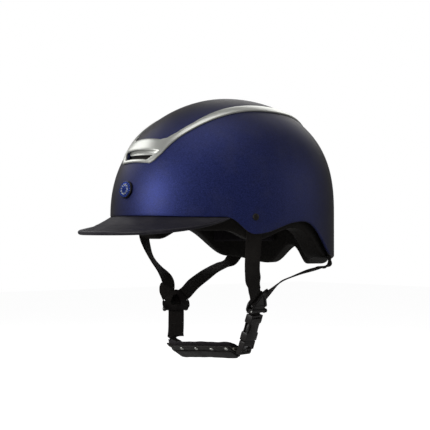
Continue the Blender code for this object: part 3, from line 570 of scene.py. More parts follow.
def satin_metal():
    made, tree, shader, position = new_material("satin_silver", Metallic=0.82)
    marks = place_group(tree, WEAR, Position=position, Amount=0.3)
    stretch = node(tree, "ShaderNodeMapping", None, Vector=position, Scale=(3600.0, 120.0, 500.0))
    brushed = node(tree, "ShaderNodeTexNoise", None, Vector=stretch.outputs[0], Scale=1.0, Detail=2.0)
    colour = mixed(tree, brushed.outputs[0], (0.66, 0.67, 0.62), (0.72, 0.73, 0.69))
    skin = mixed(tree, marks.outputs["Dust"], colour, (0.55, 0.55, 0.50))
    tree.links.new(skin, shader.inputs["Base Color"])
    rough = maths(tree, "ADD", 0.33, maths(tree, "MULTIPLY", marks.outputs["Scratch"], 0.2))
    tree.links.new(rough, shader.inputs["Roughness"])
    bump(tree, shader, brushed.outputs[0], 0.01, 0.00005)
    return made


def peak_skin():
    made, tree, shader, position = new_material("peak_skin", Specular_IOR_Level=0.32)
    grain = place_group(tree, GRAIN, Position=position, Scale=1100.0)
    marks = place_group(tree, WEAR, Position=position, Amount=0.3)
    colour = mixed(tree, grain.outputs["Mottle"], (0.010, 0.009, 0.015), (0.016, 0.014, 0.021))
    skin = mixed(tree, marks.outputs["Dust"], colour, (0.08, 0.075, 0.08))
    tree.links.new(skin, shader.inputs["Base Color"])
    rough = maths(tree, "ADD", 0.42, maths(tree, "MULTIPLY", grain.outputs["Mottle"], 0.1))
    tree.links.new(rough, shader.inputs["Roughness"])
    bump(tree, shader, grain.outputs["Height"], 0.25, 0.0003)
    return made


def foam_skin():
    made, tree, shader, position = new_material("moulded_foam", Specular_IOR_Level=0.15)
    beads = node(tree, "ShaderNodeTexVoronoi", None, Vector=position, Scale=330.0)
    grain = place_group(tree, GRAIN, Position=position, Scale=700.0)
    colour = mixed(tree, ramp(tree, beads.outputs["Distance"], 0.0, 0.6), (0.026, 0.024, 0.021),
                   (0.015, 0.013, 0.012))
    skin = mixed(tree, grain.outputs["Mottle"], colour, (0.019, 0.017, 0.015))
    tree.links.new(skin, shader.inputs["Base Color"])
    shader.inputs["Roughness"].default_value = 0.72
    bump(tree, shader, beads.outputs["Distance"], 0.35, 0.0004)
    return made


def webbing_cloth(name, dark, light):
    made, tree, shader, position = new_material(name, Specular_IOR_Level=0.15, Sheen_Weight=0.04,
                                                Sheen_Roughness=0.5)
    flat = node(tree, "ShaderNodeUVMap", {"uv_map": "UVMap"}).outputs[0]
    weave = place_group(tree, WEAVE, Map=flat, Thread=0.0011)
    marks = place_group(tree, WEAR, Position=position, Amount=0.35)
    # painted shade: dark in the weave's dips between threads, light on the threads' tops
    colour = mixed(tree, weave.outputs["Shade"], dark, light)
    colour = mixed(tree, maths(tree, "MULTIPLY", weave.outputs["Fuzz"], 0.4), colour, (0.030, 0.026, 0.024))
    skin = mixed(tree, marks.outputs["Dust"], colour, (0.05, 0.045, 0.04))
    tree.links.new(skin, shader.inputs["Base Color"])
    shader.inputs["Roughness"].default_value = 0.74
    bump(tree, shader, weave.outputs["Height"], 0.6, 0.00035)
    return made


def knit_cloth(name, tint, scale):
    """Padded knit or brushed lining: small loops on three axes, with fuzz, and painted shade in the gaps
    between loops.
    """
    made, tree, shader, position = new_material(name, Specular_IOR_Level=0.15, Sheen_Weight=0.08,
                                                Sheen_Roughness=0.45)
    loops = node(tree, "ShaderNodeTexVoronoi", {"feature": "SMOOTH_F1"}, Vector=position, Scale=scale,
                 Smoothness=0.3)
    grain = place_group(tree, GRAIN, Position=position, Scale=scale * 2)
    # painted shade: a darker copy of the tint for the gaps between loops
    dark = tuple(value * 0.55 for value in tint)
    colour = mixed(tree, ramp(tree, loops.outputs["Distance"], 0.0, 0.7), tint, dark)
    lighter = tuple(value * 1.5 for value in tint)
    tree.links.new(mixed(tree, maths(tree, "MULTIPLY", grain.outputs["Mottle"], 0.4), colour, lighter),
                   shader.inputs["Base Color"])
    shader.inputs["Roughness"].default_value = 0.85
    height = maths(tree, "ADD", maths(tree, "SUBTRACT", 1.0, loops.outputs["Distance"]),
                   maths(tree, "MULTIPLY", grain.outputs["Height"], 0.3))
    bump(tree, shader, height, 0.5, 0.0005)
    return made


def soft_leather():
    made, tree, shader, position = new_material("soft_leather", Specular_IOR_Level=0.3)
    grain = place_group(tree, GRAIN, Position=position, Scale=850.0)
    marks = place_group(tree, WEAR, Position=position, Amount=0.4)
    colour = mixed(tree, grain.outputs["Mottle"], (0.010, 0.009, 0.008), (0.019, 0.016, 0.015))
    skin = mixed(tree, marks.outputs["Dust"], colour, (0.07, 0.065, 0.06))
    tree.links.new(skin, shader.inputs["Base Color"])
    tree.links.new(maths(tree, "ADD", 0.46, maths(tree, "MULTIPLY", grain.outputs["Mottle"], 0.12)),
                   shader.inputs["Roughness"])
    bump(tree, shader, grain.outputs["Height"], 0.35, 0.0003)
    return made


def moulded_nylon():
    made, tree, shader, position = new_material("moulded_nylon", IOR=1.45, Specular_IOR_Level=0.35)
    grain = place_group(tree, GRAIN, Position=position, Scale=2200.0)
    marks = place_group(tree, WEAR, Position=position, Amount=0.4)
    colour = mixed(tree, grain.outputs["Mottle"], (0.008, 0.006, 0.006), (0.013, 0.011, 0.010))
    skin = mixed(tree, marks.outputs["Dust"], colour, (0.05, 0.045, 0.04))
    tree.links.new(skin, shader.inputs["Base Color"])
    rough = maths(tree, "ADD", 0.38, maths(tree, "MULTIPLY", marks.outputs["Scratch"], 0.4))
    tree.links.new(rough, shader.inputs["Roughness"])
    bump(tree, shader, grain.outputs["Height"], 0.12, 0.0001)
    return made


def cut_stone(name, colour):
    made, tree, shader, position = new_material(name, Roughness=0.05, IOR=1.7, Metallic=0.55,
                                                Coat_Weight=0.6, Coat_Roughness=0.03)
    spread = node(tree, "ShaderNodeTexVoronoi", None, Vector=position, Scale=800.0)
    split = node(tree, "ShaderNodeSeparateColor", None, Color=spread.outputs["Color"])
    deep = tuple(value * 0.35 for value in colour)
    tree.links.new(mixed(tree, split.outputs[0], deep, colour), shader.inputs["Base Color"])
    return made


def sewing_thread():
    made, tree, shader, position = new_material("sewing_thread", Specular_IOR_Level=0.3, Roughness=0.6)
    twist = node(tree, "ShaderNodeTexNoise", None, Vector=position, Scale=3000.0)
    tree.links.new(mixed(tree, twist.outputs[0], (0.020, 0.017, 0.016), (0.050, 0.044, 0.042)),
                   shader.inputs["Base Color"])
    bump(tree, shader, twist.outputs[0], 0.3, 0.0001)
    return made


PAINT, SATIN, PEAK_SKIN, FOAM = navy_paint(), satin_metal(), peak_skin(), foam_skin()
WEBBING = webbing_cloth("woven_webbing", (0.006, 0.005, 0.004), (0.018, 0.014, 0.012))
# a light grey-beige webbing whose light colour is a painted highlight, for the chin strap's end where it
# catches the light
SHEEN_WEBBING = webbing_cloth("sheen_painted_webbing", (0.16, 0.15, 0.12), (0.34, 0.32, 0.27))
LEATHER, NYLON, THREAD = soft_leather(), moulded_nylon(), sewing_thread()
PAD_KNIT = knit_cloth("pad_knit", (0.016, 0.013, 0.016), 620.0)
BLUE_STONE = cut_stone("blue_stone", (0.03, 0.09, 0.55))
CLEAR_STONE = cut_stone("clear_stone", (0.75, 0.82, 0.95))


# ------------------------------------------------------------------ repeats along a path

def geometry_tree(name, inputs):
    tree = bpy.data.node_groups.new(name, "GeometryNodeTree")
    tree.interface.new_socket("Geometry", in_out="INPUT", socket_type="NodeSocketGeometry")
    sockets = {}
    for label, kind in inputs:
        sockets[label] = tree.interface.new_socket(label, in_out="INPUT", socket_type=kind).identifier
    tree.interface.new_socket("Geometry", in_out="OUTPUT", socket_type="NodeSocketGeometry")
    return tree, tree.nodes.new("NodeGroupInput"), tree.nodes.new("NodeGroupOutput"), sockets


def finish_tree(tree, given, out, instances):
    """Ends a tree in Realize Instances and Set Material."""
    real = tree.nodes.new("GeometryNodeRealizeInstances")
    tree.links.new(instances, real.inputs[0])
    dress = tree.nodes.new("GeometryNodeSetMaterial")
    tree.links.new(real.outputs[0], dress.inputs[0])
    tree.links.new(given.outputs["Material"], dress.inputs["Material"])
    tree.links.new(dress.outputs[0], out.inputs[0])


def stitch_tree():
    """Stitches at a pitch along a path: short rods with round ends, turned to follow it."""
    tree, given, out, sockets = geometry_tree("stitch_row", (
        ("Pitch", "NodeSocketFloat"), ("Length", "NodeSocketFloat"), ("Thickness", "NodeSocketFloat"),
        ("Material", "NodeSocketMaterial")))
    path = node(tree, "GeometryNodeMeshToCurve", None, Mesh=given.outputs["Geometry"])
    points = node(tree, "GeometryNodeCurveToPoints", {"mode": "LENGTH"}, Curve=path.outputs[0],
                  Length=given.outputs["Pitch"])
    ball = node(tree, "GeometryNodeMeshUVSphere", None, Segments=6, Rings=4, Radius=0.5)
    size = node(tree, "ShaderNodeCombineXYZ", None, X=given.outputs["Thickness"],
                Y=given.outputs["Thickness"], Z=given.outputs["Length"])
    turn = node(tree, "FunctionNodeAlignRotationToVector", {"axis": "Z"}, Vector=points.outputs["Tangent"])
    placed = node(tree, "GeometryNodeInstanceOnPoints", None, Points=points.outputs["Points"],
                  Instance=ball.outputs[0], Rotation=turn.outputs[0], Scale=size.outputs[0])
    finish_tree(tree, given, out, placed.outputs[0])
    return tree, sockets


def ring_tree():
    """Cut stones evenly round a ring: low faceted domes with a flat table."""
    tree, given, out, sockets = geometry_tree("stone_ring", (
        ("Count", "NodeSocketInt"), ("Ring_Radius", "NodeSocketFloat"), ("Stone_Radius", "NodeSocketFloat"),
        ("Height", "NodeSocketFloat"), ("Turn", "NodeSocketFloat"), ("Material", "NodeSocketMaterial")))
    circle = node(tree, "GeometryNodeMeshCircle", None, Vertices=given.outputs["Count"],
                  Radius=given.outputs["Ring_Radius"])
    stone = node(tree, "GeometryNodeMeshCone", None, Vertices=8, Radius_Top=0.55,
                 Radius_Bottom=1.0, Depth=1.0)
    size = node(tree, "ShaderNodeCombineXYZ", None, X=given.outputs["Stone_Radius"],
                Y=given.outputs["Stone_Radius"], Z=given.outputs["Height"])
    turn = node(tree, "ShaderNodeCombineXYZ", None, X=0.0, Y=0.0, Z=given.outputs["Turn"])
    turned_ring = node(tree, "GeometryNodeTransform", None, Geometry=circle.outputs[0],
                       Rotation=turn.outputs[0])
    placed = node(tree, "GeometryNodeInstanceOnPoints", None, Points=turned_ring.outputs[0],
                  Instance=stone.outputs["Mesh"], Scale=size.outputs[0])
    finish_tree(tree, given, out, placed.outputs[0])
    return tree, sockets


STITCHES, RING = stitch_tree(), ring_tree()


def grown(name, points, tree_and_sockets, place=None, **values):
    """Runs a tree on a path of points and returns the plain mesh object."""
    tree, sockets = tree_and_sockets
    bm = bmesh.new()
    verts = [bm.verts.new(p) for p in points]
    for first, second in zip(verts, verts[1:]):
        bm.edges.new((first, second))
    mesh = bpy.data.meshes.new(name)
    bm.to_mesh(mesh)
    bm.free()
    path = bpy.data.objects.new(name, mesh)
    bpy.context.scene.collection.objects.link(path)
    modifier = path.modifiers.new("repeat", "NODES")
    modifier.node_group = tree
    for key, value in values.items():
        modifier[sockets[key]] = value
    made = evaluated(path)
    if place is not None:
        made.data.transform(place)
    return smoothed(made, 30)


def stitched(name, points, pitch=3.2 * MM, length=2.3 * MM, thickness=0.55 * MM):
    return grown(name, points, STITCHES, Pitch=pitch, Length=length, Thickness=thickness, Material=THREAD)


# ------------------------------------------------------------------ shell, liner and peak

def dome_piece(name, outer, inner, table, skin, columns, rows, radius):
    """A cap between two insets, open below, with a rounded rim."""
    angles = np.linspace(-np.pi, np.pi, columns, endpoint=False)
    foot = rim(table, angles)[None, :]
    share = np.sin(np.linspace(np.pi / 2, 0, rows))[:, None]
    corner = np.radians(np.linspace(0, 90, 5)[1:])[:, None]
    outer_side = (foot + radius + (CROWN_HEIGHT - outer - foot - radius) * share, outer + 0 * share)
    outer_turn = (foot + radius * (1 - np.sin(corner)), outer + radius * (1 - np.cos(corner)))
    flat = np.linspace(0, 1, 4)[1:-1, None]
    bottom = (foot + 0 * flat, outer + radius + (inner - outer - 2 * radius) * flat)
    back = corner[::-1]
    inner_turn = (foot + radius * (1 - np.sin(back)), inner - radius * (1 - np.cos(back)))
    up = share[::-1]
    inner_side = (foot + radius + (CROWN_HEIGHT - inner - foot - radius) * up, inner + 0 * up)
    heights, insets = [], []
    for height, inset in (outer_side, outer_turn, bottom, inner_turn, inner_side):
        heights.append(np.broadcast_to(height, (len(inset), columns)))
        insets.append(np.broadcast_to(inset, (len(inset), columns)))
    points = surface(angles[None, :], np.concatenate(heights), np.concatenate(insets))
    bm, _ = sheet_of(points, around=True)
    return from_bmesh(bm, name, skin, sharp=50)


def slot_outline(grow):
    low, high = (over_crown(0, at, 0)[2] for at in (SLOT_BOTTOM, SLOT_TOP))
    return low - grow, SLOT_NARROW + grow, high + grow, SLOT_WIDE + grow


def slot_cutter(grow, near, far):
    low, narrow, high, wide = (value / MM for value in slot_outline(grow))
    place = frame_of(Vector((1, 0, 0)), Vector((0, 0, 1)), Vector((0, -1, 0)), Vector())
    outline = ((-narrow, low), (narrow, low), (wide, high), (-wide, high))
    return plate(outline, near, far, place)


def anchor_hole(side):
    return rod(2.3, (0, 0, -20), (0, 0, 20), anchor_frame(side))


def make_shell():
    shell = dome_piece("helmet_shell", 0, SHELL_WALL, SHELL_RIM, PAINT, 256, 72, 1.2 * MM)
    tools = [slot_cutter(1.5 * MM, 80, 170)] + [anchor_hole(side) for side, _ in SIDES]
    shell = smoothed(combined(shell, tools), 50)
    settle(shell, "helmet", "shell_paint", "outer_shell")


def make_liner():
    liner = dome_piece("foam_shell", FOAM_OUTER, FOAM_INNER, FOAM_RIM, FOAM, 192, 40, 2.6 * MM)
    liner = smoothed(combined(liner, [slot_cutter(-2 * MM, 50, 170)]), 45)
    settle(liner, "helmet", "foam", "foam_liner")


PEAK_END = math.radians(55.0)
PEAK_HALF_WIDTH, PEAK_ROOT_Y, PEAK_TIP_Y, PEAK_SQUARENESS = 97.0 * MM, -81.0 * MM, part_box("peak")[0][1], 2.15
LIP_DROP, LIP_HEIGHT, LIP_END = 21.2 * MM, 5.2 * MM, 3.6 * MM


def peak_outline(share):
    turn = share * math.pi / 2
    power = 2 / PEAK_SQUARENESS
    x = PEAK_HALF_WIDTH * math.copysign(abs(math.sin(turn)) ** power, turn)
    y = PEAK_ROOT_Y + (PEAK_TIP_Y + 0.9 * MM - PEAK_ROOT_Y) * max(math.cos(turn), 0.0) ** power
    return np.array([x, y, 0.0])


def peak_section(share):
    """The peak's closed section: over the top to a beaded lip, and back underneath."""
    top = float(rim(SHELL_RIM, PEAK_END * share)) - 0.35 * MM
    inner, skirt = (surface(PEAK_END * share, 0, inset) for inset in (FOAM_OUTER - 0.5 * MM, -0.15 * MM))
    edge = peak_outline(share)
    reach = edge - skirt
    length = np.linalg.norm(reach)
    ahead = reach / length
    fullness = max(1 - abs(share) ** 3.2, 0.0) ** 0.9
    bottom = -LIP_END - (LIP_DROP - LIP_END) * fullness
    lip = 1.6 * MM + (LIP_HEIGHT - 1.6 * MM) * fullness
    bead = lip / 2
    middle = bottom + bead
    back = min(5.6 * MM, length * 0.5)
    points = [(inner, top), (skirt, top)]
    brink = bottom + lip - 0.9 * MM * fullness
    for part in (0.2, 0.4, 0.6, 0.8, 0.92):
        fall = (brink - top) * (1.25 * part - 0.25 * part ** 2)
        points.append((skirt + ahead * (length - back) * part, top + fall))
    points.append((edge - ahead * back, brink - 0.1 * MM))
    points.append((edge - ahead * back * 0.88, brink - 0.75 * MM * fullness))
    points.append((edge - ahead * back * 0.76, brink - 0.2 * MM * fullness))
    for turn in np.radians((130, 105, 80, 55, 30, 5, -20, -50, -80, -110)):
        out = (math.cos(turn) - 1) * bead + 0.9 * MM
        points.append((edge + ahead * out, middle + bead * math.sin(turn)))
    points.append((edge - ahead * back, bottom + 1.2 * MM * fullness + 0.2 * MM))
    points.append((skirt + reach * 0.45, min(top + (bottom + lip - top) * 0.4 - 3 * MM, top - 2.2 * MM)))
    points.append((inner, top - 4.2 * MM))
    return [place + np.array([0, 0, height]) for place, height in points]


def make_peak():
    points = np.array([peak_section(share) for share in np.linspace(-1, 1, 121)])
    peak = tube_of(points, "peak_visor", PEAK_SKIN, sharp=28)
    peak = bevelled(peak, 0.35 * MM, segments=2, sharp=60)
    settle(peak, "helmet", "peak_skin", "peak")
    run = []
    for share in np.linspace(-0.93, 0.93, 160):
        section = peak_section(share)
        run.append(section[7] + np.array([0, 0, 0.25 * MM]) - (section[7] - section[1]) * 0.03)
    row = stitched("peak_stitching", run, pitch=3.4 * MM, length=2.4 * MM)
    settle(row, "helmet", "peak_skin")


# ------------------------------------------------------------------ vent frame and badge

def trim_grid():
    """The trim's base sheet on the shell, as a bmesh, with the slot and the gap between its arms open."""
    steps = list(np.linspace(TRIM_START, SLOT_BOTTOM, 5)) + list(np.linspace(SLOT_BOTTOM, SLOT_TOP, 9)[1:])
    steps += list(np.linspace(SLOT_TOP, FRAME_TOP, 12)[1:]) + [36.6, 37.3]
    steps += list(np.linspace(37.3, TRIM_END, 110)[1:])
    arm, middle = 12, 44
    bm = bmesh.new()
    rows = []
    for at in steps:
        outer, inner = read_line(TRIM_OUTER, at) * MM, read_line(TRIM_INNER, at) * MM
        across = np.concatenate([np.linspace(-outer, -inner, arm + 1)[:-1],
                                 np.linspace(-inner, inner, middle + 1),
                                 np.linspace(inner, outer, arm + 1)[1:]])
        rows.append([bm.verts.new(p) for p in over_crown(across, at, -0.25 * MM)])
    for k in range(len(steps) - 1):
        low, high = steps[k], steps[k + 1]
        open_here = low >= FRAME_TOP - 0.01 or (low >= SLOT_BOTTOM - 0.01 and high <= SLOT_TOP + 0.01)
        for j in range(len(rows[k]) - 1):
            if not (open_here and arm <= j < arm + middle):
                bm.faces.new((rows[k][j], rows[k][j + 1], rows[k + 1][j + 1], rows[k + 1][j]))
    bmesh.ops.delete(bm, geom=[vert for vert in bm.verts if not vert.link_faces], context="VERTS")
    return bm


def make_trim():
    """A rounded, creased cover over the base sheet: higher along the middle of each band."""
    bm = trim_grid()
    edge = np.array([vert.co for vert in bm.verts if vert.is_boundary])
    raised = bmesh.ops.extrude_face_region(bm, geom=bm.faces[:], use_keep_orig=True)["geom"]
    tops = [item for item in raised if isinstance(item, bmesh.types.BMVert)]
    places = np.array([vert.co for vert in tops])
    reach = np.min(np.linalg.norm(places[:, None, :] - edge[None, :, :], axis=2), axis=1)
    normals = outwards(places)
    corner = np.clip(reach / (0.9 * MM), 0, 1)
    height = 0.85 * MM + (TRIM_HEIGHT - 1.2 * MM) * np.sqrt(1 - (1 - corner) ** 2)
    height += 0.35 * MM * np.clip((reach - 0.8 * MM) / (3.2 * MM), 0, 1)
    for vert, place in zip(tops, places + normals * height[:, None]):
        vert.co = place
    trim = from_bmesh(bm, "vent_frame", SATIN, sharp=24)
    settle(trim, "helmet", "satin_trim", "vent_trim")


def slot_levels():
    """Heights of the opening's bottom and top, and of the scoop's lower edge between them."""
    low, high = (over_crown(0, at, 0)[2] for at in (SLOT_BOTTOM, SLOT_TOP))
    return low, high, low + (high - low) * 0.46


def slot_row(columns, z, depth, margin):
    """A row of points across the opening at a height, a depth behind the shell's surface."""
    low, high, _ = slot_levels()
    half = SLOT_NARROW + (SLOT_WIDE - SLOT_NARROW) * max(z - low, 0) / (high - low) + margin
    return on_front(np.linspace(-1, 1, columns) * half, z, 0) + np.array([0, depth, 0])


def walled(rows, name, skin, offset, sharp=35):
    """An open sheet over rows of points, thickened to a wall."""
    bm, _ = sheet_of(np.array(rows))
    made = from_bmesh(bm, name, skin, recalculate=False, sharp=sharp)
    thick = made.modifiers.new("wall", "SOLIDIFY")
    thick.thickness = 0.8 * MM
    thick.offset = offset
    return evaluated(made)


def make_scoop():
    """The satin panel that slopes in from the opening's top edge."""
    _, high, split = slot_levels()
    top = high + 0.6 * MM
    rows = []
    for t in np.linspace(0, 1, 14):
        depth = 0.2 * MM + 3.4 * MM * t + 0.6 * MM * math.sin(t * math.pi)
        rows.append(slot_row(61, top - (top - split) * t, depth, 0.6 * MM))
    made = walled(rows, "vent_scoop", SATIN, 1, sharp=60)
    made.data.shade_smooth()
    settle(made, "helmet", "satin_trim")


def make_louvre():
    low, _, split = slot_levels()
    levels = low - 1.0 * MM + (split + 2.2 * MM - low) * np.linspace(0, 1, 8)
    rows = [slot_row(41, z, 6.0 * MM, 0.9 * MM) for z in levels]
    settle(walled(rows, "vent_louvre", FOAM, -1), "helmet", "black_plastic", "vent_mesh")


def badge_place():
    return surface_frame(lambda x, z: on_front(x, z, 0), 0.0, 28.8 * MM, (0.004, 0.004))


def make_badge():
    place = badge_place()
    profile = [(0, 2.3), (9.0, 2.3)] + arc((9.3, 1.6), 0.7, 90, 0, 6) + [(10.0, 0.6), (9.8, 0.35), (0, 0.35)]
    settle(turned(profile, place, "badge_rim", NYLON), "helmet", "black_plastic", "badge_base")
    face = [(0, 3.7), (5.0, 3.55), (8.3, 3.1)] + arc((8.5, 2.75), 0.4, 70, -20, 4) + [(8.9, 2.3), (0, 2.3)]
    settle(turned(face, place, "badge_plate", BLUE_STONE), "helmet", "badge_stones", "badge_face")
    rings = ((18, 7.7, 1.25, 0.9, 0.0, 3.2, BLUE_STONE), (11, 5.2, 1.3, 0.9, 0.13, 3.6, CLEAR_STONE),
             (6, 2.6, 1.2, 0.9, 0.0, 3.75, BLUE_STONE), (3, 0.001, 1.2, 1.1, 0.4, 3.8, BLUE_STONE))
    for number, (count, ring, stone, height, turn, lift, skin) in enumerate(rings, 1):
        above = place @ Matrix.Translation((0, 0, lift * MM))
        made = grown(f"badge_stones_{number}", [(0, 0, 0), (0, 0, MM)], RING, above, Count=count,
                     Ring_Radius=ring * MM, Stone_Radius=stone * MM, Height=height * MM, Turn=turn,
                     Material=skin)
        settle(made, "helmet", "badge_stones")


def make_caps():
    profile = [(0, 1.75), (1.4, 1.7), (2.6, 1.45), (3.4, 1.0), (3.85, 0.5), (3.9, 0.3), (2.0, 0.3),
               (2.0, -5.9), (0, -5.9)]
    for side, label in SIDES:
        cap = turned(profile, anchor_frame(side), f"anchor_cap_{label}", NYLON)
        settle(cap, "helmet", "black_plastic", f"front_anchor_cap_{label}")


# ------------------------------------------------------------------ webbing

def along_route(points, shares):
    """Points of a Catmull-Rom curve through the given ones."""
    points = np.array(points, float)
    spans = len(points) - 1
    at = np.clip(np.asarray(shares, float) * spans, 0, spans - 1e-9)
    k = at.astype(int)
    t = (at - k)[..., None]
    p = [points[np.clip(k + i, 0, spans)] for i in (-1, 0, 1, 2)]
    return 0.5 * (2 * p[1] + (p[2] - p[0]) * t + (2 * p[0] - 5 * p[1] + 4 * p[2] - p[3]) * t * t
                  + (3 * p[1] - p[0] - 3 * p[2] + p[3]) * t ** 3)


def unit(vectors):
    return vectors / np.linalg.norm(vectors, axis=-1, keepdims=True)


def web_frames(stops, shares):
    """Centres, directions across and directions off the face along a route of stops in mm."""
    points = np.array([point for point, _ in stops], float) * MM
    acrosses = unit(np.array([across for _, across in stops], float))
    centres = along_route(points, shares)
    before, after = np.maximum(shares - 0.01, 0), np.minimum(shares + 0.01, 1)
    ahead = unit(along_route(points, after) - along_route(points, before))
    across = along_route(acrosses, shares)
    across = unit(across - ahead * np.sum(ahead * across, -1, keepdims=True))
    return centres, across, np.cross(ahead, across)


def flat_section(width, thickness, radius, crown):
    """A flat bar's section with rounded edges, as (across, off) points."""
    half, deep = width / 2 - radius, thickness / 2
    span = np.linspace(half, -half, 7)
    hump = crown * (1 - (span / (half or 1)) ** 2)
    points = [(a, deep + h) for a, h in zip(span, hump)]
    turn = np.radians(np.linspace(90, 270, 6)[1:-1])
    points += [(-half + radius * math.cos(a), deep * math.sin(a)) for a in turn]
    points += [(a, -deep) for a in span[::-1]]
    turn = np.radians(np.linspace(-90, 90, 6)[1:-1])
    points += [(half + radius * math.cos(a), deep * math.sin(a)) for a in turn]
    return np.array(points)


def web_piece(name, stops, steps, width, skin=None, shift=0.0, thickness=WEB_THICKNESS, part=(0.0, 1.0),
              crown=0.0, ripple=0.0, narrow=0.0, sideways=0.0):
    """A flat piece with rounded edges along a route, with a map in metres for its weave.

    narrow draws its two ends in to a blunt point, and sideways moves it across the route.
    """
    shares = np.linspace(part[0], part[1], steps)
    centres, across, face = web_frames(stops, shares)
    section = flat_section(width, thickness, thickness / 2, crown)
    lengths = np.concatenate([[0], np.cumsum(np.linalg.norm(np.diff(centres, axis=0), axis=1))])
    wave = ripple * np.sin(lengths / 0.011) * np.sin(lengths / 0.0043)
    lift = section[None, :, 1, None] + shift + wave[:, None, None]
    end_share = np.minimum(np.arange(steps), np.arange(steps)[::-1]) / (steps - 1) / 0.09
    fit = 1 - narrow * (1 - np.sqrt(1 - (1 - np.clip(end_share, 0, 1)) ** 2))
    reach = section[None, :, 0] * fit[:, None] + sideways
    points = centres[:, None, :] + across[:, None, :] * reach[:, :, None] + face[:, None, :] * lift
    spread = np.concatenate([[0], np.cumsum(np.linalg.norm(np.diff(section, axis=0), axis=1))])
    total = spread[-1] + np.linalg.norm(section[0] - section[-1])
    return tube_of(points, name, skin or WEBBING, sharp=60,
                   uv=lambda i, j: ((spread[j] if j < len(spread) else total), lengths[i]))


def tangent(side, degrees):
    first, second = (surface(math.radians((degrees + k) * side), 0) for k in (-1, 1))
    return unit(second - first)


def in_shell(side, degrees, height):
    return surface(math.radians(degrees * side), height * MM, WEB_INSET) / MM


def in_frame(place, u, v, w=-0.3):
    return np.array(place @ (Vector((u, v, w)) * MM)) / MM


def route_stops(side):
    """The stops of one side's front, rear and lower webbing."""
    divider = side_frame(side, DIVIDERS[side])
    turn = divider.to_3x3()
    front_along, rear_along = tangent(side, FRONT_ANCHOR[0]), tangent(side, REAR_STRAP_ANGLE)
    across = np.array(turn @ Vector((0.8 * side, 0.6, 0)))
    front = [(in_shell(side, FRONT_ANCHOR[0], height), front_along) for height in (9, -3, -20)]
    front += list(FRONT_ROUTES[side])
    front += [(in_frame(divider, u * side, v), across) for u, v in FRONT_IN_DIVIDER[side]]
    across = np.array(turn @ Vector((0.55 * side, -0.83, 0)))
    rear = [(in_frame(divider, u * side, v), across) for u, v in ((8.2, 4.9), (12.2, 7.6))]
    rear += list(REAR_ROUTES[side])
    rear += [(in_shell(side, REAR_STRAP_ANGLE, height), rear_along) for height in (-46, -37, -26)]
    across = np.array(turn @ Vector((side, 0, 0)))
    lower = [(in_frame(divider, 0, -4.6), across), (in_frame(divider, 0, -11.5), across)]
    if side > 0:
        lower.append((in_frame(side_frame(1, BUCKLE_CENTRE), 0, 16.4, 0), across))
    else:
        lower += [((-73.5, -17.5, -127), across), ((-70, -20.8, -139), across),
                  ((-67.4, -23.0, -147.6), (0.1, -1, 0.1)), ((-66.4, -24.2, -152.0), (0.1, -1, 0.1))]
    return front, rear, lower


def seam_run(stops, part, offsets, lift):
    """Points of a zigzag or straight run sewn on a strap: (share, across) pairs within part."""
    shares = np.array([part[0] + (part[1] - part[0]) * t for t, _ in offsets])
    centres, across, face = web_frames(stops, shares)
    return centres + across * np.array([a for _, a in offsets])[:, None] + face * lift


def make_webbing():
    for side, label in SIDES:
        front, rear, lower = route_stops(side)
        made = web_piece(f"front_web_{label}", front, 150, 19 * MM)
        made = combined(made, [anchor_hole(side)])
        settle(made, "helmet", "webbing", f"front_strap_{label}")
        made = web_piece(f"rear_web_{label}", rear, 170, 16 * MM)
        settle(made, "helmet", "webbing", f"rear_strap_{label}")
        made = web_piece(f"rear_web_fold_{label}", rear, 24, 17 * MM, thickness=4.6 * MM,
                         part=(0.79, 0.855))
        settle(made, "helmet", "webbing")
        made = web_piece(f"lower_web_{label}", lower, 40 if side > 0 else 90, 20 * MM, ripple=0.12 * MM)
        settle(made, "helmet", "webbing", f"lower_strap_{label}")
    lower = route_stops(-1)[2]
    box = [(0.42, -8 * MM), (0.42, 8 * MM), (0.6, 8 * MM), (0.6, -8 * MM), (0.42, -8 * MM)]
    run = []
    for (a, u), (b, v) in zip(box, box[1:]):
        run += [(a + (b - a) * t, u + (v - u) * t) for t in np.linspace(0, 1, 12)[:-1]]
    for number, lift in enumerate((0.75 * MM, -0.75 * MM), 1):
        row = stitched(f"lower_web_seam_{number}", seam_run(lower, (0, 1), run, lift), pitch=2.2 * MM,
                       length=1.7 * MM, thickness=0.5 * MM)
        settle(row, "helmet", "webbing")


# ------------------------------------------------------------------ dividers

def named(piece, name, skin):
    piece.name = name
    piece.data.name = name
    piece.data.materials.clear()
    piece.data.materials.append(skin)
    return smoothed(piece, 38)


def pin_hole(place):
    return rod(PIN_RADIUS + 0.25, (-30, PIN_V, PIN_W), (30, PIN_V, PIN_W), place)


def divider_outline(width, bottom, top, shift):
    half = width / 2
    return ((-half, bottom + 4), (-half + 2, bottom), (half - 2, bottom), (half, bottom + 4),
            (shift + 3, top), (shift - 3, top))


def base_outline(shift):
    """The base plate: a blunt triangle with a rounded lug on each side."""
    right = [(10, -13), (17.4, -9.5), (17.4, -0.5), (12.5, 4)]
    return right + [(shift + 3.4, 13), (shift - 3.4, 13)] + [(-u, v) for u, v in reversed(right)]


def flap_outline(shift, margin):
    """The flap: a foot between the ears, wings above them and a blunt tip."""
    if margin:
        right = [(15.2 - margin * 1.6, -4.6 + margin * 0.5), (15.2 - margin * 1.5, -3.2 + margin * 0.5)]
    else:
        right = [(12.2, -9), (12.2, -4.6), (15.2, -4.6), (15.2, -2.4)]
    top = 12.4 - margin * 1.3
    tip = 3.2 - margin * 0.5
    return right + [(shift + tip, top), (shift - tip, top)] + [(-u, v) for u, v in reversed(right)]


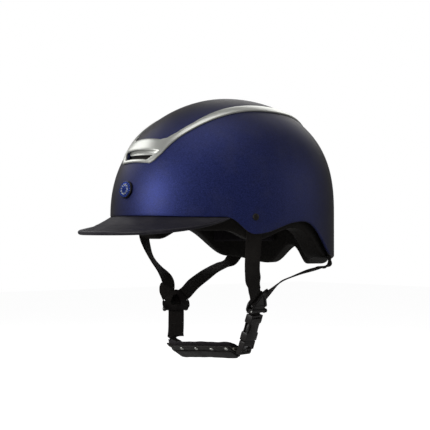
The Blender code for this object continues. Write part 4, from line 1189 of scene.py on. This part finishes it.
def make_divider_base(side, label, place):
    base = plate(rounded(base_outline(2 * side), 4.5), -3.2, -1.4, place)
    parts = []
    for end in (-1, 1):
        low, high = sorted((end * 12.7, end * 15.0))
        parts.append(block((low, PIN_V - 3, -2.4), (high, PIN_V + 2.4, PIN_W), place))
        parts.append(rod(2.4, (low, PIN_V, PIN_W), (high, PIN_V, PIN_W), place))
    base = combined(base, parts, "UNION")
    holes = [pin_hole(place),
             plate(rounded(divider_outline(15, -6.5, 7, 1.2 * side), 1.5), -5, 2, place)]
    holes += [rod(1.0, (end * 14.6, 0.2, -9), (end * 14.6, 0.2, 9), place, sides=20) for end in (-1, 1)]
    base = bevelled(combined(base, holes), 0.45 * MM)
    settle(named(base, f"divider_plate_{label}", NYLON), "helmet", "black_plastic",
           f"divider_base_{label}")


def make_divider_flap(side, label, place):
    flap = plate(rounded(flap_outline(1.5 * side, 0), 1.6), 0.9, 3.1, place)
    knuckle = rod(KNUCKLE_RADIUS, (-12.2, PIN_V, PIN_W), (12.2, PIN_V, PIN_W), place)
    flap = combined(flap, [knuckle], "UNION")
    cuts = [pin_hole(place),
            plate(rounded(flap_outline(1.5 * side, 2.5), 1.2), 2.3, 6, place)]
    flap = bevelled(combined(flap, cuts), 0.3 * MM)
    corners = ((-9.0 * side, -1.6), (-7.4 * side, -3.0), (3.0 * side, 8.4), (1.4 * side, 9.2))
    rib = plate(rounded(corners, 0.6), 2.0, 2.95, place)
    flap = combined(flap, [bevelled(rib, 0.2 * MM)], "UNION")
    settle(named(flap, f"divider_cover_{label}", NYLON), f"flap_{label}", "black_plastic",
           f"divider_flap_{label}")


def make_divider_pin(label, place):
    pin = [(0, 15.1), (0.8, 15.1), (1.0, 14.9), (1.0, -14.9), (0.8, -15.1), (0, -15.1)]
    lie = place @ Matrix.Translation(Vector((0, PIN_V, PIN_W)) * MM)
    lie = lie @ Matrix.Rotation(math.pi / 2, 4, "Y")
    settle(turned(pin, lie, f"divider_axle_{label}", SATIN, 24), "helmet", "studs",
           f"divider_pin_{label}")


def make_dividers():
    for side, label in SIDES:
        place = side_frame(side, DIVIDERS[side])
        make_divider_base(side, label, place)
        make_divider_flap(side, label, place)
        make_divider_pin(label, place)


# ------------------------------------------------------------------ buckle

def make_socket(place):
    """The buckle's female half: a waisted box with side windows and thumb recesses."""
    waist = [(-11.5, -14), (-11.5, -6)]
    waist += [(-11.5 + math.sin(math.pi * t), -6 + 15 * t) for t in (0.25, 0.5, 0.75)]
    waist += [(-11.5, 9), (-11.2, 16)]
    outline = waist + [(-u, v) for u, v in reversed(waist)]
    female = plate(outline, -4, 4, place)
    cavity = block((-9.3, -24, -2.4), (9.3, 10, 2.4), place)
    windows = [plate(rounded(((end * 9.0, -4.4), (end * 14, -4.4), (end * 14, 6.4), (end * 9.0, 6.4)), 2.4),
                     -1.9, 1.9, place) for end in (-1, 1)]
    faces = []
    for end in (-1, 1):
        grip = rounded(((end * 7.6, -3.5), (end * 14, -6.4), (end * 14, 8), (end * 7.6, 5.5)), 2.6)
        faces += [plate(grip, 2.9, 6, place), plate(grip, -6, -2.9, place)]
    slot = block((-9.8, 12.0, -10), (9.8, 13.8, 10), place)
    female = bevelled(combined(female, [cavity, slot] + windows + faces), 0.55 * MM)
    settle(named(female, "buckle_socket", NYLON), "helmet", "black_plastic", "buckle_female")


def make_plug(place):
    """The buckle's male half: a body with two webbing slots, a tongue and grip ridges."""
    body = rounded(((-11.5, -31), (11.5, -31), (11.5, -14.4), (-11.5, -14.4)), 2.2)
    male = plate(body, -3.4, 3.4, place)
    tongue = block((-2.2, -16.4, -1.7), (2.2, 6, 1.7), place)
    male = combined(male, [tongue], "UNION")
    cuts = [block((-9.6, -23.6, -10), (9.6, -20.2, 10), place),
            block((-9.6, -28.4, -10), (9.6, -25.8, 10), place),
            block((-20, -32, 1.6), (20, -24.6, 8), place)]
    male = bevelled(combined(male, cuts), 0.5 * MM)
    grips = [rod(0.42, (-8.5, v, 3.35), (8.5, v, 3.35), place, sides=12) for v in (-15.8, -17.2, -18.6)]
    male = combined(male, grips, "UNION")
    settle(named(male, "buckle_plug", NYLON), "chin", "black_plastic", "buckle_male")


def make_prongs(place):
    outline = ((-1.8, -1.4), (1.6, -1.4), (1.9, 5), (1.9, 15), (0.6, 18.5),
               (-1.0, 19.5), (-1.8, 18), (-1.2, 8))
    for end, label in ((-1, "front"), (1, "rear")):
        points = [((7.0 + u) * end, -12.0 + v) for u, v in outline]
        prong = bevelled(plate(points, -1.8, 1.8, place), 0.35 * MM)
        settle(named(prong, f"prong_{label}", NYLON), f"prong_{label}", "black_plastic",
               f"buckle_prong_{label}")


def make_buckle():
    place = side_frame(1, BUCKLE_CENTRE)
    make_socket(place)
    make_plug(place)
    make_prongs(place)


# ------------------------------------------------------------------ chin strap, pad and cover

def chin_stops():
    stops = [(point, CHIN_ACROSS) for point in CHIN_ROUTE[:-1]]
    stops.append((CHIN_ROUTE[-1], (0.1, -1, 0.1)))
    stops[0] = (stops[0][0], (0.276, -0.961, 0))
    return stops


def bridge(piece, slot, *nodes):
    """A chin piece between the helmet on the wearer's right and the buckle on the left: hides the nodes it
    stands for and bakes its place into its mesh.
    """
    if nodes:
        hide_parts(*nodes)
    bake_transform(piece)


def make_chin():
    stops = chin_stops()
    bridge(web_piece("chin_web", stops, 140, 20 * MM), "webbing", "chin_strap")
    pad = web_piece("chin_cushion", stops, 90, 24 * MM, PAD_KNIT, CHIN_SHIFTS[0], 4.2 * MM, CHIN_WRAP,
                    crown=1.2 * MM, ripple=0.3 * MM, narrow=0.25)
    bridge(pad, "pad_cloth", "chin_pad")
    cover = web_piece("chin_wrap", stops, 120, 24.6 * MM, LEATHER, CHIN_SHIFTS[1], 1.6 * MM, CHIN_WRAP,
                      ripple=0.25 * MM, narrow=0.3)
    bridge(cover, "pad_cloth", "chin_cover")
    fold = web_piece("chin_fold", stops, 110, 15.5 * MM, LEATHER, CHIN_SHIFTS[1] - 1.5 * MM, 1.3 * MM,
                     (CHIN_WRAP[0] + 0.015, CHIN_WRAP[1] - 0.01), ripple=0.2 * MM, narrow=0.5,
                     sideways=-4.6 * MM)
    bridge(fold, "pad_cloth")
    # the chin strap's end in the lighter webbing: a painted highlight where it catches the light
    end = web_piece("chin_web_end", stops, 12, 20.4 * MM, SHEEN_WEBBING, 0.0, 3.4 * MM, (0.0, 0.05))
    bridge(end, "webbing")
    low = CHIN_SHIFTS[1] - 2.2 * MM
    run = [(t, 1.6 * MM) for t in np.linspace(0.06, 0.94, 60)]
    bridge(stitched("chin_seam", seam_run(stops, CHIN_WRAP, run, low), pitch=3.0 * MM), "pad_cloth")
    profile = [(0, 1.1), (0.9, 1.05), (1.7, 0.85), (2.2, 0.5), (2.4, 0.15), (2.4, 0), (0, 0)]
    for number in (1, 2, 3, 4):
        low_corner, high_corner = (np.array(corner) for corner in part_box(f"chin_stud_{number}"))
        shares = np.linspace(0, 1, 801)
        centres, across, face = web_frames(stops, shares)
        k = int(np.argmin(np.abs(centres[:, 0] - (low_corner[0] + high_corner[0]) / 2)))
        foot = centres[k] - face[k] * 2.8 * MM + across[k] * 8.8 * MM
        a, f = Vector(across[k]), Vector(face[k])
        place = frame_of(a, a.cross(f), -f, Vector(foot))
        bridge(turned(profile, place, f"chin_press_{number}", SATIN, 24), "studs", f"chin_stud_{number}")


# ------------------------------------------------------------------ pads inside

def pad_sheet(name, point_at, columns, rows):
    """A closed lens between an outer and an inner side: point_at(i, j, share from outer to inner)."""
    i, j = np.meshgrid(np.linspace(0, 1, columns), np.linspace(0, 1, rows), indexing="ij")
    fall = 1 - (2 * i - 1) ** 8
    fall = np.clip(fall * (1 - (2 * j - 1) ** 8), 0, 1) ** 0.5
    outer = point_at(i, j, 0.5 - 0.5 * fall)
    inner = point_at(i, j, 0.5 + 0.5 * fall)
    bm = bmesh.new()
    first = [[bm.verts.new(p) for p in row] for row in outer]
    second = [[bm.verts.new(p) for p in row] for row in inner]
    for a in range(columns - 1):
        for b in range(rows - 1):
            bm.faces.new((first[a][b], first[a + 1][b], first[a + 1][b + 1], first[a][b + 1]))
            bm.faces.new((second[a][b], second[a][b + 1], second[a + 1][b + 1], second[a + 1][b]))
    return from_bmesh(bm, name, PAD_KNIT, sharp=60)


def swollen(piece, cap):
    """Blows a pad up with a short cloth run, keeps its back on the liner, and smooths it once."""
    frames = 16
    before = np.array([vert.co for vert in piece.data.vertices])
    cloth = piece.modifiers.new("cloth", "CLOTH")
    cloth.settings.use_pressure = True
    cloth.settings.uniform_pressure_force = 4.0
    cloth.settings.effector_weights.gravity = 0.0
    cloth.settings.quality = 4
    cloth.point_cache.frame_start, cloth.point_cache.frame_end = 1, frames
    for step in range(1, frames + 1):
        bpy.context.scene.frame_set(step)
    piece = evaluated(piece)
    bpy.context.scene.frame_set(1)
    after = np.array([vert.co for vert in piece.data.vertices])
    move = after - before
    length = np.linalg.norm(move, axis=1, keepdims=True)
    move *= np.minimum(1, cap / np.maximum(length, 1e-9))
    normals = outwards(before)
    out = np.sum(move * normals, axis=1, keepdims=True)
    move -= normals * np.maximum(out, 0)
    for vert, place in zip(piece.data.vertices, before + move):
        vert.co = place
    smooth = piece.modifiers.new("smooth", "SUBSURF")
    smooth.levels = smooth.render_levels = 1
    piece = evaluated(piece)
    piece.data.shade_smooth()
    return piece


def band(angles, heights):
    """Points of a pad round the head, grooved at every 14 degrees."""
    def point_at(i, j, share):
        turn = np.radians(angles[0] + (angles[1] - angles[0]) * i)
        apart = np.abs((i * abs(angles[1] - angles[0]) / 14) % 1 - 0.5)
        groove = 1.3 * MM * np.exp(-(apart / 0.1) ** 2)
        inset = PAD_OUTER + (PAD_INNER - PAD_OUTER - groove) * share
        return surface(turn, (heights[0] + (heights[1] - heights[0]) * j) * MM, inset)
    return point_at


def make_pads():
    pads = {"brow_pad": ((-58, 58), (-10, 18), 88, 20)}
    for side, label in SIDES:
        pads[f"temple_pad_{label}"] = ((62 * side, 86 * side), (-14, 20), 28, 22)
        pads[f"nape_pad_{label}"] = ((112 * side, 168 * side), (-30, 4), 52, 22)
    for node_name, (angles, heights, columns, rows) in pads.items():
        piece = pad_sheet(node_name.replace("pad", "cushion"), band(angles, heights), columns, rows)
        piece = swollen(piece, 2.2 * MM)
        settle(piece, "helmet", "pad_cloth", node_name)


def make_crown_pad():
    """A cap under the crown, with its outer and inner sides joined at a thin rim."""
    angles, share = np.linspace(0, 2 * np.pi, 73)[:-1], np.linspace(0.0, 1.0, 22)
    foot, rows = 72 * MM, []
    for inset, order in ((PAD_OUTER, share[::-1]), (PAD_INNER, share)):
        top = CROWN_HEIGHT - inset
        for t in order:
            pull = 0.5 * (PAD_INNER - PAD_OUTER) * (1 - min(t / 0.12, 1)) ** 2
            at = inset + pull if inset == PAD_OUTER else inset - pull
            rows.append(surface(angles, foot + (top - foot) * math.sin(t * math.pi / 2), at))
    bm, _ = sheet_of(np.array(rows), around=True)
    piece = from_bmesh(bm, "crown_cushion", PAD_KNIT, sharp=60)
    piece = swollen(piece, 2.0 * MM)
    settle(piece, "helmet", "pad_cloth", "crown_pad")


# ------------------------------------------------------------------ stage

VIEW_AZIMUTH, VIEW_ELEVATION, VIEW_DISTANCE = math.radians(49.5), math.radians(-0.5), 1.6
LENS, SENSOR = 114.4, 36.0
AIM_RIGHT, AIM_UP = -14.3 * MM, 2.0 * MM


def direction(azimuth, elevation):
    """From the middle towards a place: azimuth 0 is at -Y and 90 degrees at +X."""
    return Vector((math.sin(azimuth) * math.cos(elevation), -math.cos(azimuth) * math.cos(elevation),
                   math.sin(elevation)))


def make_camera():
    data = bpy.data.cameras.new("camera")
    data.lens, data.sensor_width = LENS, SENSOR
    data.clip_start = 0.05
    camera = bpy.data.objects.new("camera", data)
    bpy.context.scene.collection.objects.link(camera)
    back = direction(VIEW_AZIMUTH, VIEW_ELEVATION)
    right = Vector((math.cos(VIEW_AZIMUTH), math.sin(VIEW_AZIMUTH), 0))
    target = right * AIM_RIGHT + Vector((0, 0, AIM_UP))
    camera.location = target + back * VIEW_DISTANCE
    camera.rotation_euler = (-back).to_track_quat("-Z", "Y").to_euler()
    bpy.context.scene.camera = camera


def area_light(name, azimuth, elevation, distance, size, power):
    data = bpy.data.lights.new(name, "AREA")
    data.shape = "RECTANGLE"
    data.size, data.size_y = size
    data.energy = power
    lamp = bpy.data.objects.new(name, data)
    bpy.context.scene.collection.objects.link(lamp)
    away = direction(math.radians(azimuth), math.radians(elevation))
    lamp.location = away * distance
    lamp.rotation_euler = (-away).to_track_quat("-Z", "Y").to_euler()


def make_world():
    """A white surround to the camera that lights the piece only faintly."""
    world = bpy.data.worlds.new("studio")
    bpy.context.scene.world = world
    world.use_nodes = True
    tree = world.node_tree
    tree.nodes.clear()
    seen = node(tree, "ShaderNodeBackground", None, Color=(1, 1, 1, 1), Strength=1.0)
    lit = node(tree, "ShaderNodeBackground", None, Color=(1, 1, 1, 1), Strength=0.16)
    ray = node(tree, "ShaderNodeLightPath")
    choose = node(tree, "ShaderNodeMixShader", None, i0=ray.outputs["Is Camera Ray"], i1=lit.outputs[0],
                  i2=seen.outputs[0])
    out = node(tree, "ShaderNodeOutputWorld")
    tree.links.new(choose.outputs[0], out.inputs[0])


def make_floor():
    """A pale floor that shows white to the camera."""
    bm = bmesh.new()
    bmesh.ops.create_grid(bm, x_segments=1, y_segments=1, size=4.0)
    bmesh.ops.translate(bm, vec=(0, 0, -0.30), verts=bm.verts)
    skin, tree, shader, position = new_material("pale_floor", Roughness=0.9, Specular_IOR_Level=0.1)
    cloud = node(tree, "ShaderNodeTexNoise", None, Vector=position, Scale=3.0)
    tree.links.new(mixed(tree, cloud.outputs[0], (0.42, 0.42, 0.42), (0.46, 0.46, 0.46)),
                   shader.inputs["Base Color"])
    shader.inputs["Emission Color"].default_value = (1, 1, 1, 1)
    ray = node(tree, "ShaderNodeLightPath")
    seen = maths(tree, "MULTIPLY", ray.outputs["Is Camera Ray"], 0.9)
    tree.links.new(seen, shader.inputs["Emission Strength"])
    floor = from_bmesh(bm, "floor", skin, recalculate=False)


def make_stage():
    area_light("key", 2, 16, 1.6, (0.8, 0.7), 12)
    area_light("top", 60, 80, 1.5, (1.0, 1.0), 4)
    area_light("right_card", -72, 34, 1.7, (1.3, 0.9), 6)
    area_light("rear_card", -150, 34, 1.8, (1.3, 0.9), 6)
    area_light("left_card", 140, 12, 2.0, (0.6, 1.0), 2.5)
    make_world()
    make_floor()
    bpy.context.scene.view_settings.view_transform = "Standard"
    bpy.context.scene.view_settings.look = "None"


def dress_nodes():
    """CAD nodes that stay in sight keep their shape and take a proper finish."""
    for key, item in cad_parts.items():
        if key.startswith(("hook_dot", "rear_anchor_plate")):
            item.data.materials.clear()
            item.data.materials.append(NYLON)


make_camera()
make_stage()
make_shell()
make_liner()
make_peak()
make_trim()
make_scoop()
make_louvre()
make_badge()
make_caps()
make_webbing()
make_dividers()
make_buckle()
make_chin()
make_pads()
make_crown_pad()
dress_nodes()
